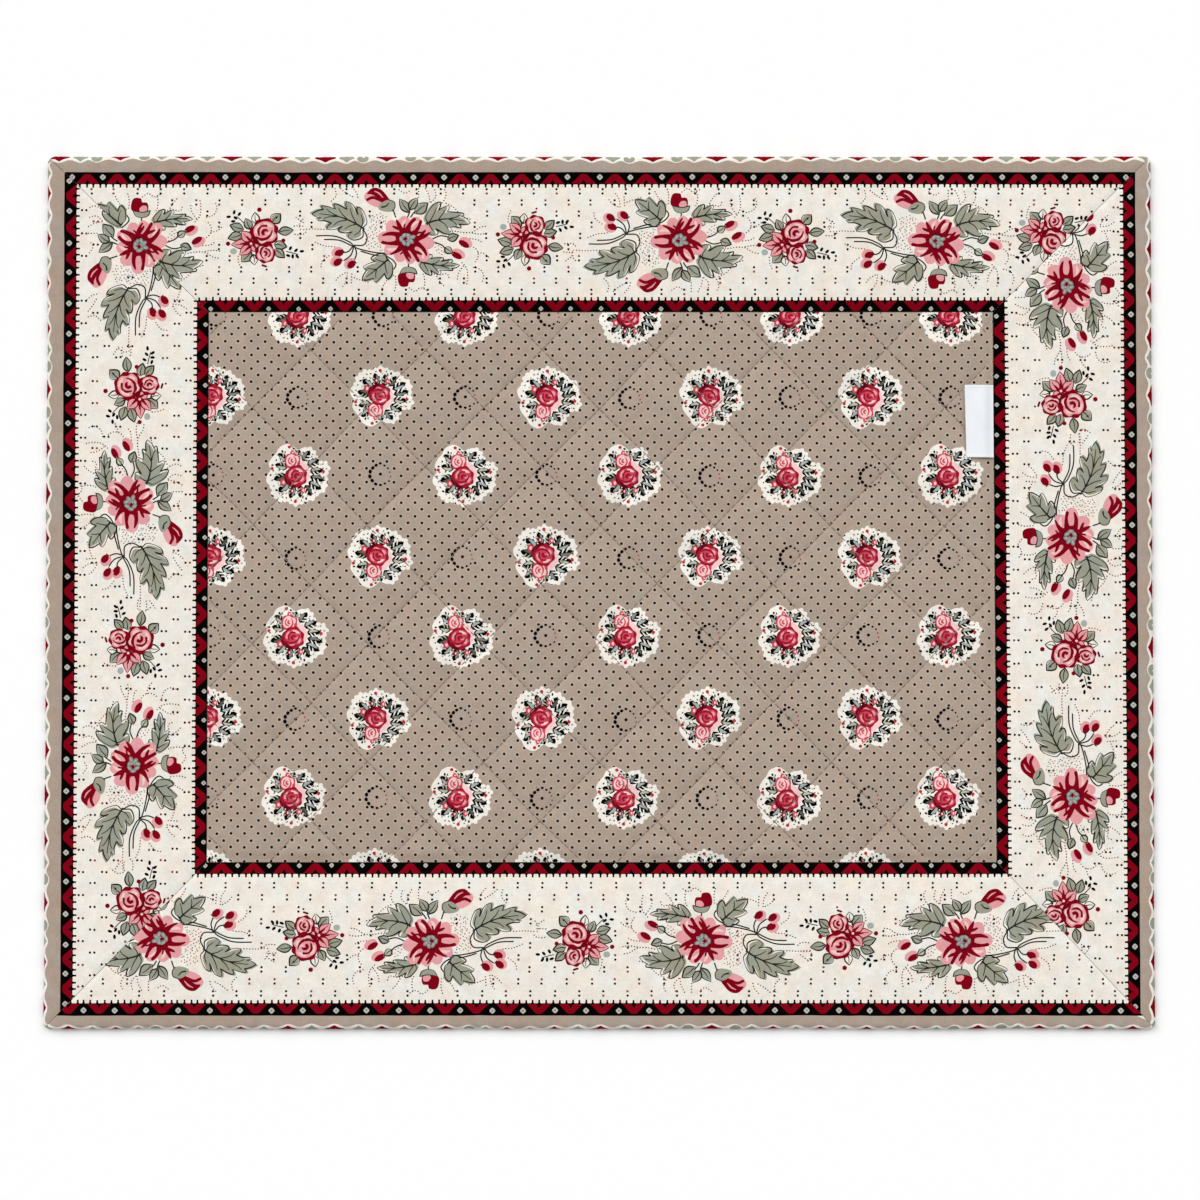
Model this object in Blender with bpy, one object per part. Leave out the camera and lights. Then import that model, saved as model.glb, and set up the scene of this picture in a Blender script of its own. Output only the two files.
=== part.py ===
"""Quilted fabric placemat: a centre panel, quilted on the diagonal, in a frame of four mitred strips.

A blank tab of woven tape is caught in the panel's right seam.

Units are metres, with +Z up. The mat's width runs along X and its depth along Y. The origin lies on the
surface that the mat rests on, under the middle of its outline. The upper faces carry the padded relief,
and the undersides are flat.
"""

from math import exp, hypot, pi, sin
from typing import NamedTuple

import bmesh
import bpy

MM = 0.001


class SectionPoint(NamedTuple):
    """A point of a strip's section: inset from the mat's edge, or back from the seam, and height."""

    inset: float
    height: float
    from_seam: bool = False


class Finish(NamedTuple):
    """A cloth's look: its linear base colour and its roughness."""

    name: str
    colour: tuple
    roughness: float


class Strip(NamedTuple):
    """A border strip, which runs clockwise from one corner of the mat to the next."""

    name: str
    start: str
    end: str


# Outline of the whole mat, and of the centre panel inside its seams
MAT_WIDTH = 482 * MM
MAT_DEPTH = 380 * MM
CORNER_RADIUS = 3.2 * MM
EDGE_WANDER = 0.35 * MM

BAND_TOP = 68.4 * MM
BAND_BOTTOM = 72.2 * MM
BAND_LEFT = 70.7 * MM
BAND_RIGHT_AT_TOP = 69.4 * MM
BAND_RIGHT_AT_BOTTOM = 68.6 * MM

SEAM_GAP = 0.3 * MM

# Padding
SEAM_HEIGHT = 2.4 * MM
BAND_CROWN = 3.95 * MM
PANEL_CROWN = 4.3 * MM
CHANNEL_HEIGHT = 2.7 * MM
SEAM_SHOULDER = 5.0 * MM
MITRE_DEPTH = 1.1 * MM
MITRE_WIDTH = 2.4 * MM
LOFT_WANDER = 0.16 * MM

# Quilting: two families of stitched lines, which cross on a lattice of diamonds
DIAMOND_WIDTH = 50.2 * MM
DIAMOND_DEPTH = 51.3 * MM
FIRST_CROWN_FROM_LEFT = 19.4 * MM
FIRST_CROWN_FROM_TOP = 16.1 * MM
QUILT_WANDER = 0.7 * MM
CHANNEL_SHARPNESS = 0.62
STEPS_ACROSS_DIAMOND = 8
LEAST_COLUMN = 2.2 * MM
PANEL_EDGE_STEPS = (1.4 * MM, 3.6 * MM)

# Tab: a strip of tape that lies on the panel and bridges its channels
TAB_LENGTH = 31.6 * MM
TAB_REACH = 12.6 * MM
TAB_FROM_TOP_SEAM = 31.2 * MM
TAB_LEAN = 0.6 * MM
TAB_THICKNESS = 0.5 * MM
TAB_CLEARANCE = 0.4 * MM
TAB_BRIDGED_RISE = 0.45
TAB_COLUMNS = 6
TAB_LEVELS = 12

# Strips: stations along each one, closer together at its mitred ends
STATION_PITCH = 11 * MM
END_STATIONS = (1.3 * MM, 3.2 * MM, 6.5 * MM)
EDGE_WANDER_REACH = 12 * MM
MITRE_CALM = 20 * MM

# Section of a strip, from the underside of its rolled edge up and over to the seam
SECTION = (
    SectionPoint(1.10 * MM, 0.0),
    SectionPoint(0.30 * MM, 0.50 * MM),
    SectionPoint(0.0, 1.35 * MM),
    SectionPoint(0.22 * MM, 2.30 * MM),
    SectionPoint(0.95 * MM, 3.05 * MM),
    SectionPoint(2.30 * MM, 3.50 * MM),
    SectionPoint(4.60 * MM, 3.60 * MM),
    SectionPoint(8.50 * MM, 3.42 * MM),
    SectionPoint(20.0 * MM, 3.75 * MM),
    SectionPoint(38.0 * MM, BAND_CROWN),
    SectionPoint(13.0 * MM, 3.75 * MM, from_seam=True),
    SectionPoint(5.00 * MM, 3.35 * MM, from_seam=True),
    SectionPoint(1.50 * MM, 2.80 * MM, from_seam=True),
    SectionPoint(0.0, SEAM_HEIGHT, from_seam=True),
)

TAUPE_COTTON = Finish("taupe_cotton", (0.42, 0.34, 0.28, 1.0), 0.9)
IVORY_COTTON = Finish("ivory_cotton", (0.86, 0.82, 0.74, 1.0), 0.9)
WHITE_TAPE = Finish("white_tape", (0.85, 0.88, 0.93, 1.0), 0.7)

# Corners of the mat's outline and of the centre panel, as seen from above
LEFT, RIGHT = -MAT_WIDTH / 2, MAT_WIDTH / 2
BOTTOM, TOP = -MAT_DEPTH / 2, MAT_DEPTH / 2
OUTER = {
    "top_left": (LEFT, TOP),
    "top_right": (RIGHT, TOP),
    "bottom_right": (RIGHT, BOTTOM),
    "bottom_left": (LEFT, BOTTOM),
}
INNER = {
    "top_left": (LEFT + BAND_LEFT, TOP - BAND_TOP),
    "top_right": (RIGHT - BAND_RIGHT_AT_TOP, TOP - BAND_TOP),
    "bottom_right": (RIGHT - BAND_RIGHT_AT_BOTTOM, BOTTOM + BAND_BOTTOM),
    "bottom_left": (LEFT + BAND_LEFT, BOTTOM + BAND_BOTTOM),
}

# The middle of the first whole diamond of the quilting
FIRST_CROWN = (
    INNER["top_left"][0] + FIRST_CROWN_FROM_LEFT,
    INNER["top_left"][1] - FIRST_CROWN_FROM_TOP,
)

STRIPS = (
    Strip("border_top", "top_left", "top_right"),
    Strip("border_right", "top_right", "bottom_right"),
    Strip("border_bottom", "bottom_right", "bottom_left"),
    Strip("border_left", "bottom_left", "top_left"),
)


def clear_scene():
    """Removes every object of the open scene."""
    for item in list(bpy.data.objects):
        bpy.data.objects.remove(item, do_unlink=True)


def mix(a, b, share):
    """The point at this share of the way from a to b."""
    return tuple(p + (q - p) * share for p, q in zip(a, b))


def smooth_step(t):
    """A rise from 0 to 1 that is level at both ends."""
    t = min(max(t, 0.0), 1.0)
    return t * t * (3 - 2 * t)


def drift(a, b):
    """A slow uneven wave of about -1 to 1, as hand-guided cloth shows, at a place given in metres."""
    return (
        0.45 * sin(41 * a + 17 * b + 0.6)
        + 0.33 * sin(93 * a - 58 * b + 2.1)
        + 0.22 * sin(29 * a + 127 * b + 4.4)
    )


def rounded(x, y):
    """Moves a point near a corner of the mat so that the square outline there becomes an arc."""
    across = abs(x) - (MAT_WIDTH / 2 - CORNER_RADIUS)
    along = abs(y) - (MAT_DEPTH / 2 - CORNER_RADIUS)
    if across <= 0 or along <= 0:
        return x, y
    shrink = max(across, along) / hypot(across, along)
    new_x = MAT_WIDTH / 2 - CORNER_RADIUS + across * shrink
    new_y = MAT_DEPTH / 2 - CORNER_RADIUS + along * shrink
    return (new_x if x > 0 else -new_x), (new_y if y > 0 else -new_y)


def dot(a, b):
    """The scalar product of two directions in plan."""
    return a[0] * b[0] + a[1] * b[1]


def distance_to_line(point, start, end):
    """How far a point lies from the line through start and end, in plan."""
    run_x, run_y = end[0] - start[0], end[1] - start[1]
    return abs((point[0] - start[0]) * run_y - (point[1] - start[1]) * run_x) / hypot(run_x, run_y)


def add_object(name, mesh, finish):
    """Puts a mesh in the scene under its node's name, with its own cloth material."""
    material = bpy.data.materials.new(f"{name}_{finish.name}")
    material.use_nodes = True
    shader = material.node_tree.nodes["Principled BSDF"]
    shader.inputs["Base Color"].default_value = finish.colour
    shader.inputs["Roughness"].default_value = finish.roughness
    shader.inputs["Metallic"].default_value = 0.0
    material.diffuse_color = finish.colour
    mesh.materials.append(material)
    item = bpy.data.objects.new(name, mesh)
    bpy.context.scene.collection.objects.link(item)
    mesh.shade_smooth()
    mesh.set_sharp_from_angle(angle=pi / 4)
    return item


def close_under(name, rows):
    """A closed mesh from rows of upper points. Its rim runs on down to a flat underside at z = 0.

    Every row has as many points as the others. Each square of four is split along its lower diagonal, so
    that a channel runs clean through it. Rim points that already lie at z = 0 are shared with the
    underside, so a rolled edge meets it with no wall.
    """
    work = bmesh.new()
    grid = [[work.verts.new(point) for point in row] for row in rows]
    for row, following in zip(grid, grid[1:]):
        for a, b, c, d in zip(row, row[1:], following[1:], following):
            if a.co.z + c.co.z < b.co.z + d.co.z:
                halves = (a, b, c), (a, c, d)
            else:
                halves = (b, c, d), (b, d, a)
            for half in halves:
                work.faces.new(half)
    ends = [row[-1] for row in grid[:-1]]
    starts = [row[0] for row in grid[:0:-1]]
    rim = grid[0][:-1] + ends + grid[-1][:0:-1] + starts
    foot = [vert if vert.co.z == 0 else work.verts.new((vert.co.x, vert.co.y, 0)) for vert in rim]
    for i, vert in enumerate(rim):
        corners = (vert, rim[i - 1], foot[i - 1], foot[i])
        wall = [corner for k, corner in enumerate(corners) if corner not in corners[:k]]
        if len(wall) > 2:
            work.faces.new(wall)
    work.faces.new(foot)
    bmesh.ops.triangulate(work, faces=work.faces)
    bmesh.ops.recalc_face_normals(work, faces=work.faces)
    mesh = bpy.data.meshes.new(name)
    work.to_mesh(mesh)
    work.free()
    return mesh


def strip_stations(length):
    """Places along a strip, in shares of its length: close together at the mitres, then evenly apart."""
    last_end = END_STATIONS[-1]
    inner_length = length - 2 * last_end
    count = round(inner_length / STATION_PITCH)
    places = [0.0, *END_STATIONS[:-1]]
    places += [last_end + inner_length * i / count for i in range(count + 1)]
    places += [length - step for step in reversed(END_STATIONS[:-1])]
    places.append(length)
    return [place / length for place in places]


def gap_along(outer, inner, ahead, inward):
    """Half the gap at a mitre, measured along the strip instead of across the slanting seam."""
    mitre = (inner[0] - outer[0], inner[1] - outer[1])
    return SEAM_GAP / 2 * hypot(dot(mitre, ahead), dot(mitre, inward)) / dot(mitre, inward)


def strip_height(x, y, height, near_mitre):
    """Height of a strip's padded face at a point: its section, softly uneven, and low at the mitres."""
    if height <= SEAM_HEIGHT:
        return height
    room = (height - SEAM_HEIGHT) / (BAND_CROWN - SEAM_HEIGHT)
    lift = LOFT_WANDER * drift(1.7 * y, 1.3 * x)
    groove = MITRE_DEPTH * exp(-((near_mitre / MITRE_WIDTH) ** 2))
    return height + (lift - groove) * room


def build_strip(strip):
    """One border strip, mitred at both ends, with its rolled outer edge and padded face."""
    outer_start, outer_end = OUTER[strip.start], OUTER[strip.end]
    inner_start, inner_end = INNER[strip.start], INNER[strip.end]
    run = (outer_end[0] - outer_start[0], outer_end[1] - outer_start[1])
    length = hypot(*run)
    ahead = (run[0] / length, run[1] / length)
    inward = (ahead[1], -ahead[0])
    band = (
        distance_to_line(inner_start, outer_start, outer_end)
        + distance_to_line(inner_end, outer_start, outer_end)
    ) / 2
    start_gap = gap_along(outer_start, inner_start, ahead, inward)
    end_gap = gap_along(outer_end, inner_end, ahead, inward)
    stations = strip_stations(length)
    rows = []
    for inset, height, from_seam in SECTION:
        share = 1 - (inset + SEAM_GAP / 2) / band if from_seam else inset / band
        first = mix(outer_start, inner_start, share)
        last = mix(outer_end, inner_end, share)
        first = (first[0] + ahead[0] * start_gap, first[1] + ahead[1] * start_gap)
        last = (last[0] - ahead[0] * end_gap, last[1] - ahead[1] * end_gap)
        near_edge = max(0.0, 1 - share * band / EDGE_WANDER_REACH)
        row = []
        for station in stations:
            x, y = mix(first, last, station)
            near_mitre = min(
                distance_to_line((x, y), outer_start, inner_start),
                distance_to_line((x, y), outer_end, inner_end),
            )
            sway = EDGE_WANDER * abs(drift(x, y)) * near_edge * smooth_step(near_mitre / MITRE_CALM)
            plan = rounded(x + inward[0] * sway, y + inward[1] * sway)
            row.append((*plan, strip_height(x, y, height, near_mitre)))
        rows.append(row)
    return add_object(strip.name, close_under(strip.name, rows), IVORY_COTTON)


def quilt_wander(x, y):
    """How far the quilting strays from its lattice at a place, along X and along Y."""
    return QUILT_WANDER * drift(0.8 * x, 0.9 * y), QUILT_WANDER * drift(0.9 * y + 3.0, 0.8 * x + 5.0)


def panel_height(x, y, edge_distance, least_rise=0.0):
    """Height of the quilted face: a soft crown in each diamond, low in the channels and at the seams.

    A least rise above 0 gives the height of something that lies on the crowns and bridges the channels.
    """
    across = (x - FIRST_CROWN[0]) / DIAMOND_WIDTH
    down = (FIRST_CROWN[1] - y) / DIAMOND_DEPTH
    rise = abs(sin(pi * (across + down + 0.5))) * abs(sin(pi * (across - down + 0.5)))
    rise = max(rise, least_rise)
    crown = CHANNEL_HEIGHT + (PANEL_CROWN - CHANNEL_HEIGHT) * rise ** CHANNEL_SHARPNESS
    crown += LOFT_WANDER * drift(1.9 * x, 1.6 * y) * rise
    return SEAM_HEIGHT + (crown - SEAM_HEIGHT) * smooth_step(edge_distance / SEAM_SHOULDER)


def panel_places(low, high, first_crown, pitch):
    """Grid places between two seams: close together beside them, then in step with the quilting."""
    places = [low, *(low + step for step in PANEL_EDGE_STEPS)]
    last_low, first_high = places[-1], high - PANEL_EDGE_STEPS[-1]
    index = int((low - first_crown) / pitch) - 1
    while first_crown + index * pitch < first_high - LEAST_COLUMN:
        place = first_crown + index * pitch
        if place > last_low + LEAST_COLUMN:
            places.append(place)
        index += 1
    places += [high - step for step in reversed(PANEL_EDGE_STEPS)]
    places.append(high)
    return places


def build_panel():
    """The centre panel: the quilting raised in its face, its rim thin where the border is sewn on."""
    half_gap = SEAM_GAP / 2
    low_x, high_x = INNER["top_left"][0] + half_gap, INNER["top_right"][0] - half_gap
    low_y, high_y = INNER["bottom_left"][1] + half_gap, INNER["top_left"][1] - half_gap
    lean = INNER["bottom_right"][0] - INNER["top_right"][0]
    columns = panel_places(low_x, high_x, FIRST_CROWN[0], DIAMOND_WIDTH / STEPS_ACROSS_DIAMOND)
    levels = panel_places(low_y, high_y, FIRST_CROWN[1], DIAMOND_DEPTH / STEPS_ACROSS_DIAMOND)
    rows = []
    for y in levels:
        row = []
        for x in columns:
            edge_distance = min(x - low_x, high_x - x, y - low_y, high_y - y)
            z = panel_height(x, y, edge_distance)
            stray_x, stray_y = quilt_wander(x, y)
            fade = smooth_step(edge_distance / SEAM_SHOULDER / 2)
            slant = lean * (high_y - y) / (high_y - low_y) * (x - low_x) / (high_x - low_x)
            row.append((x + stray_x * fade + slant, y + stray_y * fade, z))
        rows.append(row)
    return add_object("centre_panel", close_under("centre_panel", rows), TAUPE_COTTON)


def build_tab():
    """The blank tab, whose right edge is caught in the seam beside the panel."""
    seam_top, seam_bottom = INNER["top_right"], INNER["bottom_right"]
    work = bmesh.new()
    grid = []
    for level in range(TAB_LEVELS + 1):
        down = level / TAB_LEVELS
        y = seam_top[1] - TAB_FROM_TOP_SEAM - TAB_LENGTH * down
        seam_x, _ = mix(seam_top, seam_bottom, (seam_top[1] - y) / (seam_top[1] - seam_bottom[1]))
        reach = TAB_REACH - TAB_LEAN * down
        row = []
        for column in range(TAB_COLUMNS + 1):
            from_seam = reach * (1 - column / TAB_COLUMNS)
            x = seam_x - SEAM_GAP / 2 - from_seam
            z = panel_height(x, y, from_seam, TAB_BRIDGED_RISE) + TAB_CLEARANCE
            row.append(work.verts.new((x, y, z)))
        grid.append(row)
    for row, following in zip(grid, grid[1:]):
        for a, b, c, d in zip(row, following, following[1:], row[1:]):
            work.faces.new((a, b, c, d))
    bmesh.ops.triangulate(work, faces=work.faces)
    mesh = bpy.data.meshes.new("side_tab")
    work.to_mesh(mesh)
    work.free()
    item = add_object("side_tab", mesh, WHITE_TAPE)
    tape = item.modifiers.new("tape", "SOLIDIFY")
    tape.thickness = TAB_THICKNESS
    tape.offset = 1.0
    return item


def main():
    """Builds the mat."""
    clear_scene()
    build_panel()
    build_tab()
    for strip in STRIPS:
        build_strip(strip)


main()
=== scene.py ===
"""Looks of a quilted cloth placemat: printed cloths, quilting thread, a blank tab and a plain studio.

Each printed cloth is one closed mesh. Its print is drawn in a flat plane in millimetres, cut into triangles
along every printed outline, and then laid on the padded form of the frame's solid, with closer seams and
shallower mitres. On a border strip the plane's first axis runs along the strip, clockwise round the mat, and
the second is 0 at the outer edge and falls towards the seam. On the centre panel the plane's axes are the
mat's own X and Y.
"""

import logging
from dataclasses import dataclass, field
from enum import Enum
from math import ceil, cos, hypot, pi, radians, sin

import bpy
import numpy as np
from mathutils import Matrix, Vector
from mathutils.geometry import delaunay_2d_cdt


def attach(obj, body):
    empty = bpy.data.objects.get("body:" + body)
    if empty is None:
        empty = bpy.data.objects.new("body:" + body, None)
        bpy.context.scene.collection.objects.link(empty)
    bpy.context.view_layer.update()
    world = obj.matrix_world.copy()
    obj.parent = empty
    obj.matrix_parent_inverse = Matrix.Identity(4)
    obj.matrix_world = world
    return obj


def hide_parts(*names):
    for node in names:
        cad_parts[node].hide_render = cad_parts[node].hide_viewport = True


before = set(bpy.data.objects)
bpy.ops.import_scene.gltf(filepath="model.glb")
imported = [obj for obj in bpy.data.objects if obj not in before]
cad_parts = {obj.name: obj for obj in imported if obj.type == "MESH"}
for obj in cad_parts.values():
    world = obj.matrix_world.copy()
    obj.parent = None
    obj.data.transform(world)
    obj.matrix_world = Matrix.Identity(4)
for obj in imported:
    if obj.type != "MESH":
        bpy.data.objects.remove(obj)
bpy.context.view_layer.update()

log = logging.getLogger("placemat")

MM = 0.001
BODY = "root"
WELD = 1e-4
CURVE_STEP = 0.92

Points = np.ndarray


class Ink(Enum):
    """Colours of the print as they look on the cloth, in sRGB hex."""

    IVORY = "#EDE9E6"
    MEDALLION_WHITE = "#EFEBE5"
    TAUPE = "#AB9C93"
    PANEL_TAUPE = "#AC9C90"
    PANEL_BARE = "#AC9C91"
    PALE_TAUPE = "#C0B3A6"
    BLACK = "#060303"
    GALON_RED = "#800417"
    CRIMSON = "#7E0318"
    CHERRY = "#98192E"
    DEEP_RED = "#5E0716"
    DOT_RED = "#BE2A32"
    ROSE = "#C9455A"
    PINK = "#E2A0A9"
    BLUSH = "#F0CBCB"
    TINT = "#EFD9D2"
    SAGE = "#9B9D91"
    PALE_SAGE = "#B4B8A8"
    FERN = "#7A7D75"
    MOSS = "#56584F"
    LEAF_LINE = "#262A25"
    GREY = "#858A8A"
    SILVER = "#A3A8A7"
    PALE_GREY = "#B9BAB5"
    SLATE = "#A4AEAE"
    RUST = "#8A4A40"
    DOT_BROWN = "#1F1411"


def linear(hex_colour: str) -> tuple[float, float, float, float]:
    """Turns an sRGB hex colour to linear.

    Args:
        hex_colour: The colour as #RRGGBB.

    Returns:
        Its linear red, green and blue, and an alpha of 1.
    """
    parts = [int(hex_colour[i:i + 2], 16) / 255 for i in (1, 3, 5)]
    curve_out = [c / 12.92 if c <= 0.04045 else ((c + 0.055) / 1.055) ** 2.4 for c in parts]
    return (*curve_out, 1.0)


def drift(a: Points, b: Points) -> Points:
    """A slow uneven wave of about -1 to 1, as hand-guided cloth shows.

    Args:
        a: First coordinates in mm.
        b: Second coordinates in mm.

    Returns:
        The wave at each place.
    """
    a, b = a * MM, b * MM
    return (
        0.45 * np.sin(41 * a + 17 * b + 0.6)
        + 0.33 * np.sin(93 * a - 58 * b + 2.1)
        + 0.22 * np.sin(29 * a + 127 * b + 4.4)
    )


def smooth_step(t: Points) -> Points:
    """A rise from 0 to 1 that is level at both ends."""
    t = np.clip(t, 0.0, 1.0)
    return t * t * (3 - 2 * t)


def unevenness(index: float, salt: float = 0.0) -> float:
    """A fixed stray value from -1 to 1 for a numbered repeat of the print."""
    return 2 * ((sin(index * 12.9898 + salt * 78.233) * 43758.5453) % 1.0) - 1


def curve(points: list, closed: bool, step: float = CURVE_STEP) -> Points:
    """Samples a smooth curve through given points. A point given twice is a sharp corner.

    Args:
        points: The places that the curve passes, in mm.
        closed: Whether it returns to its first point.
        step: The longest run between two samples, in mm.

    Returns:
        The sampled places, one row each.
    """
    knots = np.asarray(points, float)
    count = len(knots)
    samples = []
    for i in range(count if closed else count - 1):
        places = (i - 1, i, i + 1, i + 2)
        if closed:
            before, start, end, after = (knots[k % count] for k in places)
        else:
            before, start, end, after = (knots[min(max(k, 0), count - 1)] for k in places)
        length = hypot(*(end - start))
        if length < WELD:
            continue
        parts = max(1, ceil(length / step))
        t = (np.arange(parts) / parts)[:, None]
        leave, arrive = (end - before) / 2, (after - start) / 2
        samples.append(
            (2 * t**3 - 3 * t**2 + 1) * start
            + (t**3 - 2 * t**2 + t) * leave
            + (3 * t**2 - 2 * t**3) * end
            + (t**3 - t**2) * arrive
        )
    if not closed:
        samples.append(knots[-1:])
    return np.vstack(samples)


def normals(line: Points, closed: bool) -> Points:
    """Unit normals to the left of a sampled line.

    Args:
        line: The line's points.
        closed: Whether it returns to its first point.

    Returns:
        One normal for each point.
    """
    if closed:
        ahead = np.roll(line, -1, axis=0) - np.roll(line, 1, axis=0)
    else:
        ahead = np.gradient(line, axis=0)
    ahead /= np.maximum(np.hypot(ahead[:, 0], ahead[:, 1]), 1e-9)[:, None]
    return np.column_stack((-ahead[:, 1], ahead[:, 0]))


def covered(points: Points, loops: tuple) -> Points:
    """Tells which points closed loops cover, by the nonzero winding rule.

    Args:
        points: The places to test.
        loops: The closed loops, each an array of places.

    Returns:
        True for each covered place.
    """
    turns = np.zeros(len(points), int)
    x, y = points[:, 0, None], points[:, 1, None]
    for loop in loops:
        start, end = loop, np.roll(loop, -1, axis=0)
        left = (end[:, 0] - start[:, 0]) * (y - start[:, 1]) - (x - start[:, 0]) * (end[:, 1] - start[:, 1])
        upward = (start[:, 1] <= y) & (end[:, 1] > y) & (left > 0)
        downward = (start[:, 1] > y) & (end[:, 1] <= y) & (left < 0)
        turns += upward.sum(axis=1) - downward.sum(axis=1)
    return turns != 0


@dataclass(frozen=True)
class Patch:
    """One printed shape: its closed loops in mm, and its ink."""

    loops: tuple
    ink: Ink

    def placed(self, at: tuple, turn: float, mirrored: bool, scale: float) -> "Patch":
        """The same shape elsewhere.

        Args:
            at: Where its origin goes.
            turn: Its turn in degrees, counter-clockwise.
            mirrored: Whether its second axis is turned over first.
            scale: Its size factor.

        Returns:
            The moved patch.
        """
        flip = -1.0 if mirrored else 1.0
        c, s = scale * cos(radians(turn)), scale * sin(radians(turn))
        matrix = np.array(((c, s), (-s * flip, c * flip)))
        return Patch(tuple(loop @ matrix + np.asarray(at, float) for loop in self.loops), self.ink)


class Drawing:
    """Printed shapes in mm, each over the ones before it."""

    def __init__(self) -> None:
        """Starts an empty drawing."""
        self.patches: list[Patch] = []

    def fill(self, points: list, ink: Ink, corners: bool = False) -> None:
        """Prints a closed shape through hand-placed points.

        Args:
            Prints a closed shape through given points.
            ink: Its colour.
            corners: Whether every point is a corner, with straight runs between.
        """
        loop = np.asarray(points, float) if corners else curve(points, True)
        self.patches.append(Patch((loop,), ink))

    def dot(self, x: float, y: float, radius: float, ink: Ink, sides: int = 8,
            stretch: float = 1.0, turn: float = 0.0) -> None:
        """Prints a round or oval dot.

        Args:
            x: Its centre.
            y: Its centre.
            radius: Half its height.
            ink: Its colour.
            sides: How many points its outline has.
            stretch: Its width over its height.
            turn: Its turn in degrees.
        """
        angles = np.arange(sides) * 2 * pi / sides + 0.3
        loop = np.column_stack((np.cos(angles) * radius * stretch, np.sin(angles) * radius))
        self.patches.append(Patch((loop,), ink).placed((x, y), turn, False, 1.0))

    def stroke(self, points: list, widths: tuple, ink: Ink) -> None:
        """Prints a brush stroke with rounded ends along a smooth line.

        Args:
            points: The places that the line passes.
            widths: The stroke's widths, evenly spread from start to end.
            ink: Its colour.
        """
        line = curve(points, False)
        side = normals(line, False)
        along = np.linspace(0, 1, len(line))
        half = np.interp(along, np.linspace(0, 1, len(widths)), widths)[:, None] / 2
        ahead = np.column_stack((side[:, 1], -side[:, 0]))
        left, right = line + side * half, line - side * half
        ends = []
        for k, way in ((-1, 1.0), (0, -1.0)):
            for lean, reach in ((0.7, 0.7), (0.0, 1.0), (-0.7, 0.7)):
                ends.append(line[k] + half[k] * (ahead[k] * way * reach + side[k] * lean * way))
        loop = np.vstack((left, ends[:3], right[::-1], ends[3:]))
        self.patches.append(Patch((loop,), ink))

    def contour(self, loop: Points, width: float, ink: Ink) -> None:
        """Prints a pen line round a closed loop, a little thicker and thinner as a hand draws it.

        Args:
            loop: The sampled loop.
            width: The line's mean width.
            ink: Its colour.
        """
        swell = 1 + 0.35 * np.sin(np.arange(len(loop)) * 0.31 + loop[0, 0])
        side = normals(loop, True) * (width / 2 * swell)[:, None]
        self.patches.append(Patch((loop + side, (loop - side)[::-1]), ink))

    def trail(self, points: list, pitch: float = 1.25, radius: float = 0.32) -> None:
        """Prints a dotted tendril.

        Args:
            points: The places that it passes.
            pitch: The space from dot to dot, in mm.
            radius: The dots' radius.
        """
        line = curve(points, False, pitch / 3)
        runs = np.hypot(*np.diff(line, axis=0).T)
        travelled = np.concatenate(((0.0,), np.cumsum(runs)))
        for place in np.arange(0, travelled[-1], pitch):
            x, y = (np.interp(place, travelled, line[:, k]) for k in (0, 1))
            ink = Ink.DOT_BROWN if unevenness(x, y) > 0.25 else Ink.RUST
            self.dot(x, y, radius, ink, sides=5, stretch=1.2, turn=70 * unevenness(y, x))

    def stipple(self, loop: list, pitch: float, ink: Ink, lean: float) -> None:
        """Prints rows of small dashes inside a shape.

        Args:
            loop: The corners of the shape.
            pitch: The space between rows, in mm.
            ink: Their colour.
            lean: The dashes' turn in degrees.
        """
        corners = np.asarray(loop, float)
        low, high = corners.min(axis=0), corners.max(axis=0)
        across = np.arange(low[0], high[0], pitch * 0.8)
        up = np.arange(low[1], high[1], pitch)
        for i, x in enumerate(across):
            for j, y in enumerate(up):
                place = np.array(((x + 0.45 * unevenness(i, j),
                                   y + (i % 2) * pitch / 2 + 0.3 * unevenness(j, i)),))
                if covered(place, (corners,))[0]:
                    tone = ink if unevenness(i, j) < 0.5 else Ink.DOT_BROWN
                    self.dot(*place[0], 0.25, tone, sides=4, stretch=1.9, turn=lean + 50 * unevenness(j, i))

    def almond(self, base: tuple, tip: tuple, width: float, ink: Ink, line: Ink = Ink.LEAF_LINE,
               slip: float = 0.3, pen: float = 0.52) -> None:
        """Prints a plain pointed leaf, its colour a little out of register with its line.

        Args:
            base: Its base.
            tip: Its tip.
            width: Its widest place.
            ink: Its colour.
            line: The colour of its outline and rib.
            slip: How far the colour lies off the line, in mm.
            pen: The line's width.
        """
        start, end = np.asarray(base, float), np.asarray(tip, float)
        run = end - start
        side = np.array((-run[1], run[0])) / hypot(*run) * width / 2
        shape = [start, start, start + run * 0.3 + side * 0.92, start + run * 0.62 + side * 0.9, end, end,
                 start + run * 0.62 - side * 0.9, start + run * 0.3 - side * 0.92]
        loop = curve(shape, True)
        self.patches.append(Patch((loop + np.array((slip, -slip)),), ink))
        self.contour(loop, pen, line)
        self.stroke([start + run * 0.12, start + run * 0.45 + side * 0.12, start + run * 0.78],
                    (pen, pen * 0.5), line)

    def lobed_leaf(self, base: tuple, tip: tuple, width: float, lobes: int = 3, bend: float = 0.0,
                   slip: tuple = (0.7, -0.5), ink: Ink = Ink.SAGE) -> None:
        """Prints a leaf with pointed lobes, its ribs and outline in a dark line.

        Args:
            base: Where its stalk meets it.
            tip: Its tip.
            width: Its widest place.
            lobes: How many lobes each side has.
            bend: How far its middle rib bows to the left, as a share of its length.
            slip: How far its colour lies off the line, in mm.
            ink: Its colour.
        """
        start, run = np.asarray(base, float), np.asarray(tip, float) - np.asarray(base, float)
        across = np.array((-run[1], run[0])) / hypot(*run)
        length = hypot(*run)

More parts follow.
